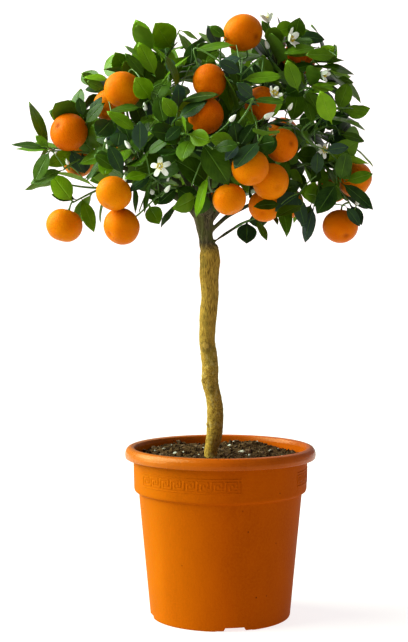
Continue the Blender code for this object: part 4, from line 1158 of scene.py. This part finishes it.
def new_tint(rng):
    """How lime a leaf is: some carry a painted bluish sheen (below 0), most are dark, some half ripe, a few
    young.
    """
    kind = rng.random()
    low, high = next(tint for share, *tint in TINTS if kind < share)
    return rng.uniform(low, high)


def nears(tip, tips, reach):
    """Whether a leaf's tip, seen from the front, is one of the tips in a list."""
    return tip.y < 40 and min(math.hypot(tip.x - across, tip.z - up) for across, up in tips) < reach


# Tips of the two packed leaves that are drawn shorter, because they would hide the trunk's fork.
FORK_TIPS = ((-32, -62, 439), (-8, -97, 441))
for number, name in enumerate(SPRAYS):
    rng = random.Random(300 + number)
    draws[name] = rng
    grown[name] = []
    for leaf in packed_leaves(name):
        tip = (leaf[0][3] - POT_AXIS) / MM
        tint = new_tint(rng)
        if nears(tip, LIME_TIPS, 11):
            tint = rng.uniform(0.6, 0.9)
        elif nears(tip, DARK_TIPS, 9):
            # Dark leaves may go below a tint of 0, into the painted bluish sheen.
            tint = rng.uniform(-0.5, 0.08)
        if any((tip - Vector(place)).length < 3 for place in FORK_TIPS):
            begin = between(LEAF_KNOTS, leaf[0], 0.0)
            leaf = ([begin.lerp(rib, 0.52) for rib in leaf[0]], leaf[1], leaf[2] * 0.62, leaf[3] * 0.62)
        begin = between(LEAF_KNOTS, leaf[0], 0.0)
        root = nearest_start(twigs[name], begin)
        if (root - begin).length > 0.006:
            root = None
        wave = rng.uniform(*WAVES)
        blade = Blade(leaf, LEAF_OUTLINE, BLADE_THICK, wave, rng.uniform(0, 6), root)
        grown[name].append((blade, tint))
        crowd.add([blade.place(spot) for spot in leaf_points], leaf_faces)

# Leaves and shoots of the photographed side that the imported sprays leave out: each leaf by its base,
# tip, seen breadth and tint, on a short shoot of its own, and bare shoots by the places they pass.
# A tint below 0 gives the painted bluish sheen.
FRONT_LEAVES = (
    ((-112, -84, 563), (-134, -92, 545), 17, 0.0), ((-87, -104, 525), (-87, -106, 558), 18, -0.5),
    ((-106, -98, 501), (-120, -104, 534), 16, -0.3), ((-113, -84, 507), (-137, -88, 525), 13, 0.2),
    ((121, -62, 558), (107, -74, 591), 22, 0.95), ((117, -58, 558), (109, -62, 587), 11, -0.4),
    ((91, -48, 591), (103, -60, 562), 13, 0.2), ((85, -62, 594), (72, -72, 628), 18, 0.5),
    ((109, -30, 648), (70, -36, 643), 13, 0.3), ((129, -16, 638), (95, -34, 639), 16, 0.35),
    ((138, -46, 497), (168, -52, 507), 14, 0.45), ((133, -50, 496), (171, -56, 469), 16, -0.1),
    ((132, -48, 497), (138, -60, 529), 19, 0.12), ((128, -52, 495), (106, -64, 462), 23, 0.0),
    ((-153, -42, 569), (-158, -50, 590), 12, 0.05), ((-152, -42, 560), (-131, -48, 586), 13, 0.1),
    ((3, -70, 556), (2, -64, 589), 12, 0.1), ((-72, -45, 613), (-90, -50, 652), 19, 0.8),
    ((-84, -60, 610), (-104, -62, 639), 13, 0.25), ((-123, -42, 610), (-152, -44, 616), 9, 0.9),
    ((-128, -40, 600), (-149, -44, 609), 11, 0.3), ((-66, -74, 602), (-37, -70, 638), 5, 0.5),
    ((-50, -66, 611), (-60, -68, 634), 12, -0.5), ((-60, -76, 601), (-44, -76, 627), 10, 0.4),
    ((-69, -88, 588), (-62, -92, 557), 19, 0.1), ((-110, -80, 569), (-127, -86, 541), 16, -0.8),
    ((-81, -112, 522), (-57, -114, 540), 11, 0.1), ((-41, -116, 551), (-59, -118, 535), 13, -0.2),
    ((6, -25, 659), (-13, -25, 673), 12, 0.2), ((17, -45, 648), (-29, -45, 647), 12, 0.35),
    ((-46, -30, 667), (-24, -30, 658), 6, 0.6), ((-34, -52, 624), (-32, -50, 650), 14, 0.0),
    ((-18, -62, 625), (-2, -60, 640), 10, 0.3), ((23, -70, 631), (-5, -72, 623), 12, -0.9),
    ((34, -60, 599), (24, -60, 625), 15, -0.2), ((45, -52, 604), (36, -50, 631), 9, 0.0),
    ((41, -72, 578), (16, -78, 595), 13, -0.7), ((59, -20, 667), (86, -22, 675), 19, 0.8),
    ((127, -15, 632), (128, -15, 656), 8, 0.1), ((110, -25, 629), (152, -22, 623), 11, 0.18),
    ((130, -22, 615), (151, -20, 611), 8, 0.22), ((93, -48, 596), (127, -46, 603), 9, 0.4),
    ((131, -32, 576), (143, -30, 610), 20, 0.4), ((135, -30, 577), (166, -28, 579), 13, 0.5),
    ((95, -42, 555), (92, -42, 574), 13, 0.05), ((133, -32, 551), (163, -28, 546), 11, 0.2),
    ((113, -66, 530), (141, -64, 535), 13, -0.6), ((105, -58, 503), (106, -62, 528), 15, -0.3),
    ((18, -126, 532), (3, -130, 515), 11, -0.9), ((36, -112, 557), (19, -120, 531), 15, 0.0),
    ((59, -100, 545), (43, -106, 522), 17, 0.05), ((-193, -45, 533), (-233, -45, 543), 9, 0.1),
    ((-189, -50, 532), (-209, -52, 497), 17, 0.2), ((-191, -40, 535), (-207, -42, 549), 10, 0.5),
    ((-169, -28, 534), (-155, -32, 508), 16, -0.4), ((-153, -42, 500), (-135, -44, 510), 6, 0.1),
    ((-121, -80, 510), (-134, -84, 529), 15, 0.12), ((-97, -72, 497), (-90, -72, 461), 5, 0.15),
    ((102, -30, 474), (91, -34, 447), 16, 0.04), ((90, -58, 471), (59, -80, 461), 11, 0.35),
    ((137, -60, 470), (154, -64, 448), 12, -0.4), ((70, -14, 621), (104, -20, 633), 13, 0.05),
    ((65, -86, 471), (35, -92, 470), 12, 0.05), ((-85, -86, 575), (-124, -84, 574), 11, 0.1),
    ((-146, -42, 570), (-134, -44, 594), 11, -0.3),
)
BARE_SHOOTS = (
    ((-34, -118, 529), (-18, -118, 525), (-6, -118, 513), (4, -118, 496)),
    ((-16, -112, 527), (-24, -112, 510), (-32, -112, 489)),
    ((-9, -122, 516), (-1, -122, 507), (8, -122, 497)),
    ((-18, -120, 524), (-6, -120, 531), (6, -120, 543)),
    ((26, -112, 567), (16, -112, 554), (7, -112, 544)),
    ((89, -60, 553), (100, -60, 538), (116, -60, 531)),
    ((-78, -72, 491), (-85, -72, 476), (-90, -72, 463)),
    ((45, -46, 634), (45, -46, 616), (43, -46, 601)),
    ((-27, -56, 643), (-26, -56, 624)),
)
FRONT_TRIALS = [(depth, tilt) for depth in (0, -5, 5, -10, 10, -16, -22, 16, -28) for tilt in (0, -7, 7)]
side_runs = []


def seen_leaf(base, tip, breadth):
    """A leaf between two places with its breadth as the photographed side shows it."""
    way = tip - base
    length = way.length
    way.normalize()
    front = Vector((0, -1, 0))
    front = (front - way * front.dot(way)).normalized()
    side = way.cross(front)
    if side.z < 0:
        side.negate()
    width = max(breadth, length * 0.46)
    turn = math.acos(min(1.0, breadth / width))
    face = front * math.cos(turn) + side * math.sin(turn)
    return grown_leaf(base, way, face, length, width, arch=0.25, fold=0.2)


for base, tip, breadth, tint in FRONT_LEAVES:
    name = min(twigs, key=lambda spray: (nearest_start(twigs[spray], at(base)) - at(base)).length)
    for depth, tilt in FRONT_TRIALS:
        root = at(base) + Vector((0, depth * MM, 0))
        leaf = seen_leaf(root, at(tip) + Vector((0, (depth + tilt) * MM, 0)), breadth * MM)
        blade = Blade(leaf, LEAF_OUTLINE, BLADE_THICK, wave=0.0006, phase=base[0])
        points = [blade.place(spot) for spot in leaf_points]
        if crowd.clear_of(points, blade_faces):
            crowd.add(points, leaf_faces)
            grown[name].append((blade, tint))
            start = nearest_start(every_twig, root)
            path = bent_path(start, start.lerp(root, 0.5) + Vector((0, 0, 0.004)), root, 7)
            side_runs.append((path, tapered(path, 0.0009, 0.0006)))
            break
for places in BARE_SHOOTS:
    corners = [at(place) for place in places]
    path = smooth_path([nearest_start(every_twig, corners[0])] + corners, 16)
    side_runs.append((path, tapered(path, 0.0012, 0.0007)))
side_shoots = rods("side_shoots", side_runs, 2)
smoothed(side_shoots, 60)
side_shoots.data.materials.append(green.material)
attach(side_shoots, "root")

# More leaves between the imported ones, on the twigs and on the outer halves of the limbs, where a
# living crown has no gaps. Each is clear of all that is there, and hides no fruit from its open side.
LENGTHS = (0.038, 0.060)
BREADTHS = (0.46, 0.57)
SPACING = 0.0066
TRIES = 9
CROWN_MIDDLE = Vector((-0.030, 0.0, 0.545))
HIDDEN_FRUITS = ("upper_right", "left_upper_behind", "right_behind", "low_behind", "far_right")
# Round places that stay empty beside the crown: across, up and radius.
OPEN_SKY = ((-119, 655, 11), (-227, 561, 8), (-216, 559, 8))
FIELD = 0.02
shown = {}


def keep_seen(centre, radius, towards):
    """Marks a round place that no new leaf may cover on its open side, front (-1) or back (1)."""
    fields = [
        range(math.floor((middle - radius) / FIELD), math.floor((middle + radius) / FIELD) + 1)
        for middle in (centre.x, centre.z)
    ]
    for column in fields[0]:
        for row in fields[1]:
            shown.setdefault((column, row), []).append((centre, radius, towards))


for name, (place, diameter, *rest) in FRUITS.items():
    if name not in HIDDEN_FRUITS:
        keep_seen(at(place), diameter * MM * 0.42, 1 if place[1] > 60 else -1)
for place, *rest in BLOSSOMS.values():
    keep_seen(at(place), 0.008, -1)
for place, way, size in SMALL_BUDS:
    keep_seen(at(place) + Vector(way).normalized() * 0.004, 0.005, 1 if place[1] > 40 else -1)
for across, up, radius in OPEN_SKY:
    keep_seen(at((across, -300, up)), radius * MM, 1)
for blades in grown.values():
    for blade, tint in blades:
        for rib, radius in ((blade.ribs[1], 0.010), (blade.ribs[2], 0.007)):
            if not -0.02 < rib.y < 0.07:
                keep_seen(rib, radius, 1 if rib.y > 0 else -1)


def hides(spot):
    """Whether a point would cover what is meant to be seen, or hangs under the crown."""
    for centre, radius, towards in shown.get((math.floor(spot.x / FIELD), math.floor(spot.z / FIELD)), ()):
        beside = math.hypot(spot.x - centre.x, spot.z - centre.z)
        if beside < radius and (spot.y - centre.y) * towards > 0:
            return True
    place = (spot - POT_AXIS) / MM
    # The crown's underside is higher on the left and over the trunk.
    skirt = 476 if place.x > -100 else 500
    if abs(place.x + 18) < 34 and abs(place.y) < 100:
        skirt = 496
    return place.z < skirt


def sprouting_spots(runs):
    """Places along runs, each used from a first to a last share of its way, and the wood's way there."""
    spots = []
    for path, first, last in runs:
        reach = sum((b - a).length for a, b in zip(path, path[1:])) * (last - first)
        count = max(2, round(reach / SPACING))
        for k in range(count):
            share = first + (last - first) * (k + rng.random() * 0.8) / count
            onward = (along(path, min(1.0, share + 0.06)) - along(path, share - 0.06)).normalized()
            spots.append((along(path, share), onward))
    rng.shuffle(spots)
    return spots


def inside_box(spot):
    """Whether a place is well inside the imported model's own box."""
    margin = Vector((1, 1, 1)) * 0.002
    low, high = cad_low + margin, cad_high - margin
    return all(low[axis] < spot[axis] < high[axis] for axis in range(3))


def tried_leaf(place, out, way, shrink):
    """A leaf drawn at random that grows a way from a place, or nothing where it would hide something."""
    wish = out * 0.95 + Vector((0, -0.30, 0.55))
    wish += Vector((rng.uniform(-1, 1), rng.uniform(-1, 1), rng.uniform(-1, 1))) * 0.6
    face = (wish - way * wish.dot(way)).normalized()
    length = rng.uniform(*LENGTHS) * shrink
    width = length * rng.uniform(*BREADTHS)
    leaf = grown_leaf(place, way, face, length, width, rng.uniform(0.2, 0.8), rng.uniform(0.1, 0.3))
    if any(hides(rib) for rib in leaf[0]) or not inside_box(leaf[0][3]):
        return None, None
    blade = Blade(leaf, LEAF_OUTLINE, BLADE_THICK, rng.uniform(*WAVES), rng.uniform(0, 6))
    points = [blade.place(spot) for spot in leaf_points]
    if any(hides(spot) for spot in points[::5]) or not crowd.clear_of(points, blade_faces):
        return None, None
    return blade, points


for name, rng in draws.items():
    if name == "low_twig":
        continue
    runs = [(path, 0.10, 1.0) for path in twigs[name]] + [(limbs[SPRAYS[name][0]], 0.38, 0.97)]
    for place, onward in sprouting_spots(runs):
        out = (place - CROWN_MIDDLE - POT_AXIS).normalized()
        side = onward.orthogonal().normalized()
        other = onward.cross(side)
        turn = rng.uniform(0, 2 * math.pi)
        for k in range(TRIES):
            swing = turn + k * 2.4
            lean = rng.uniform(0.7, 1.35)
            aside = side * math.cos(swing) + other * math.sin(swing)
            way = onward * math.cos(lean) + aside * math.sin(lean) + out * 0.30 + Vector((0, 0, -0.10))
            blade, points = tried_leaf(place, out, way.normalized(), 1 - 0.03 * k)
            if blade:
                crowd.add(points, leaf_faces)
                grown[name].append((blade, new_tint(rng)))
                break
for spray, pairs in grown.items():
    name = "spray_" + spray
    leaves = bent_copies("leaves_" + spray, leaf_model, *zip(*pairs), leaf_top.material, leaf_back.material)
    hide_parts(name)
    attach(leaves, "root")
bpy.data.objects.remove(leaf_model, do_unlink=True)

# Clementines: squat fruits in thin pored peel, dimpled where the stalk goes in, with shallow folds
# running out of the dimple and a small scar at the far end.
# How yellow the fruits are, and the way that the far end of some faces.
YELLOW = {
    "low_far_left": 0.9, "low_left": 1.0, "low_left_under": 0.8, "upper_left": 0.7, "front_low": 0.9,
    "front": 0.9, "front_under": 0.9, "low_middle": 0.7, "far_left": 0.35, "top": 0.6, "upper_middle": 0.45,
    "middle": 0.25, "middle_right": 0.25, "right_front": 0.4, "low_right": 0.5, "far_right": 0.7,
    "left_behind": 1.0, "upper_right": 0.1, "left_upper_behind": 0.8,
}
NAVELS = {
    "top": (0.72, -0.62, -0.33), "far_left": (-0.55, -0.77, 0.32),
    "right_front": (0.6, -0.8, 0.06), "low_right": (0.28, -0.72, -0.62),
}
peel = Finish("clementine peel", 0.42, 0.08)
cloud = peel.noise(42.0, 3.0)
pores = peel.pattern("TexVoronoi", 620.0)
red = mottled(peel, cloud, (0.52, 0.078, 0.0003), (0.60, 0.110, 0.0005))
yellow = mottled(peel, cloud, (0.58, 0.145, 0.0004), (0.69, 0.215, 0.0008))
colour = peel.mix(attribute(peel, "yellow"), red, yellow)
colour = peel.mix(range_of(peel, pores, 0.05, 0.35, 0.20, 0), colour, (0.42, 0.055, 0.0005))
peel.set({
    "Base Color": peel.mix(attribute(peel, "scar"), colour, (0.24, 0.032, 0.001)),
    "Specular Tint": (1.0, 0.66, 0.12),
    "Subsurface Weight": 0.15,
    "Subsurface Radius": (1.0, 0.3, 0.05),
    "Subsurface Scale": 0.006,
})
bump(peel, range_of(peel, pores, 0.0, 0.45), 0.0004, 0.8)


def near(angle, reach):
    """How near an angle is to none: 1 there, and soon 0 past its reach."""
    return math.exp(-((angle / reach) ** 2))


for number, (name, (place, diameter, way, *rest)) in enumerate(FRUITS.items()):
    fruit = begun("clementine_" + name, bpy.ops.mesh.primitive_uv_sphere_add,
                  segments=56, ring_count=36, radius=1)
    spin = turn_to(Vector(way).normalized())
    navel = spin.inverted() @ Vector(NAVELS[name]).normalized() if name in NAVELS else Vector((0, 0, -1))
    navel_mark = 0.7 if name in NAVELS else 0.15
    scars = []
    for vertex in fruit.data.vertices:
        unit = vertex.co.normalized()
        angle = math.acos(max(-1.0, min(1.0, unit.z)))
        turn = math.atan2(unit.y, unit.x)
        far = unit.angle(navel)
        radius = diameter * MM / 2
        radius *= 1 - STEM_DIMPLE * near(angle, 0.36)
        radius *= 1 - NAVEL_DIMPLE * (near(far, 0.42) + near(far, 0.16))
        scars.append(navel_mark * near(far, 0.17) + 0.25 * near(angle, 0.22))
        fold = math.cos(9 * turn + number) * 0.6 + math.cos(14 * turn + 2 * number) * 0.4
        radius *= 1 + 0.012 * fold * near(angle - 0.42, 0.32)
        radius *= 1 + 0.012 * noise.noise(unit * 1.7 + Vector((number, 0, 0)))
        vertex.co = at(place) + (spin @ (Vector((unit.x, unit.y, unit.z * FRUIT_SQUAT)) * radius))
    mark(fruit, "scar", scars)
    mark(fruit, "yellow", [YELLOW.get(name, 0.5)] * len(scars))
    fruit.data.shade_smooth()
    fruit.data.materials.append(peel.material)
    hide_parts("fruit_" + name)
    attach(fruit, "root")

# Blossoms: five thick waxy petals round a ring of white filaments with yellow anthers and a pale
# pistil. Petals are bent like the leaves, the heart is modelled once, and buds are still closed.
PETAL_OUTLINE = (0.42, 0.54, 0.66, 0.82, 0.95, 1.0, 1.0, 0.93, 0.70, 0.0)
PETAL_LENGTH = 0.0126
PETAL_BREADTH = 0.0066
PETAL_THICK = 0.0006
BUD_LENGTH = 0.0105
BUD_GIRTH = 0.0027
THREADS = 14
petal_model = strip_model("petal_model", LEAF_ROWS)
wax = Finish("white waxy petal", 0.42)
cloudy(wax, wax.noise(300.0, 3.0), (0.76, 0.76, 0.68), (0.89, 0.89, 0.83), 0.0003, 0.4)
pollen = Finish("yellow pollen", 0.8)
cloudy(pollen, pollen.noise(900.0), (0.48, 0.36, 0.02), (0.72, 0.56, 0.06), 0.0003)

filaments = []
tops = []
for k in range(THREADS):
    turn = 2 * math.pi * k / THREADS
    out = Vector((math.cos(turn), math.sin(turn), 0))
    lean = 0.0009 + 0.0007 * (k % 3)
    top = out * (0.0013 + lean) + Vector((0, 0, 0.0062 - 0.0008 * (k % 2)))
    path = bent_path(out * 0.0011 + Vector((0, 0, 0.0010)), out * 0.0014 + Vector((0, 0, 0.0042)), top, 5)
    filaments.append((path, [0.00032, 0.0003, 0.00026, 0.00022, 0.0002]))
    outward = turn_to(out + Vector((0, 0, 1)))
    tops.append(Matrix.Translation(top) @ outward @ Matrix.Diagonal((0.00075, 0.00075, 0.0012, 1)))
pistil = [Vector((0, 0, z)) for z in (0.0, 0.0055, 0.0064, 0.0072)]
filaments.append((pistil, [0.0009, 0.0004, 0.0008, 0.0003]))
threads = rods("heart_threads", filaments, 1)
threads.data.materials.append(wax.material)
threads.data.shade_smooth()
anther = lump("anther", 2.2, 1.0, 0.15)
anther.data.materials.append(pollen.material)
heart = joined([threads, copies("anthers", anther, tops)], "heart")

bud_model = begun("bud", bpy.ops.mesh.primitive_uv_sphere_add, segments=20, ring_count=12, radius=1)
for vertex in bud_model.data.vertices:
    share = (vertex.co.z + 1) / 2
    turn = math.atan2(vertex.co.y, vertex.co.x)
    girth = BUD_GIRTH * (math.sin(math.pi * share ** 0.62)) ** 0.6 * (1 - 0.16 * share)
    girth *= 1 + 0.07 * math.cos(5 * turn + 2.0 * share)
    ring = vertex.co.xy.normalized() if vertex.co.xy.length > 0.001 else Vector((0, 0))
    vertex.co = (ring.x * girth, ring.y * girth, share * BUD_LENGTH)
bud_model.data.shade_smooth()
bud_model.data.materials.append(wax.material)


def seated(model, seat, name):
    """A copy of a model, brought to its seat."""
    data = model.data.copy()
    data.transform(seat)
    return linked(name, data)


PETAL_SIZES = {"blossom_top": 1.2, "blossom_top_upright": 1.05, "blossom_right_low": 0.72}
for number, (name, (place, way, opening, *rest)) in enumerate(BLOSSOMS.items()):
    way = Vector(way).normalized()
    seat = Matrix.Translation(at(place)) @ turn_to(way)
    if opening:
        blades = []
        size = PETAL_SIZES.get(name, 0.9)
        flat = opening > 60
        for k in range(5):
            turn = 2 * math.pi * k / 5 + 0.3
            out = turn_to(way).to_3x3() @ Vector((math.cos(turn), math.sin(turn), 0))
            tilt = math.radians(opening * (0.94 + 0.04 * ((k + number) % 3)))
            ahead = way * math.cos(tilt) + out * math.sin(tilt)
            face = way * math.sin(tilt) - out * math.cos(tilt)
            root = at(place) + way * 0.0010 + out * 0.0009
            arch = 0.9 if flat else 0.55
            length, breadth = PETAL_LENGTH * size, PETAL_BREADTH * size
            *leaf, lift = grown_leaf(root, ahead, face, length, breadth, arch, fold=-0.30)
            leaf = (*leaf, -lift if flat else lift)
            blades.append(Blade(leaf, PETAL_OUTLINE, PETAL_THICK, wave=0.0002, phase=k))
        petals = bent_copies(name + "_petals", petal_model, blades, [0.0] * 5, wax.material, wax.material)
        piece = joined([petals, seated(heart, seat, "heart")], name + "_petals")
    else:
        piece = seated(bud_model, seat, name + "_closed")
    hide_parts(name)
    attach(piece, "root")
spots = []
for place, way, size in SMALL_BUDS:
    spots.append(Matrix.Translation(at(place)) @ turn_to(Vector(way).normalized()) @ Matrix.Scale(size, 4))
small_buds = copies("small_buds", bud_model, spots)
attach(small_buds, "root")
for spare in (heart, petal_model):
    bpy.data.objects.remove(spare, do_unlink=True)

low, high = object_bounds()
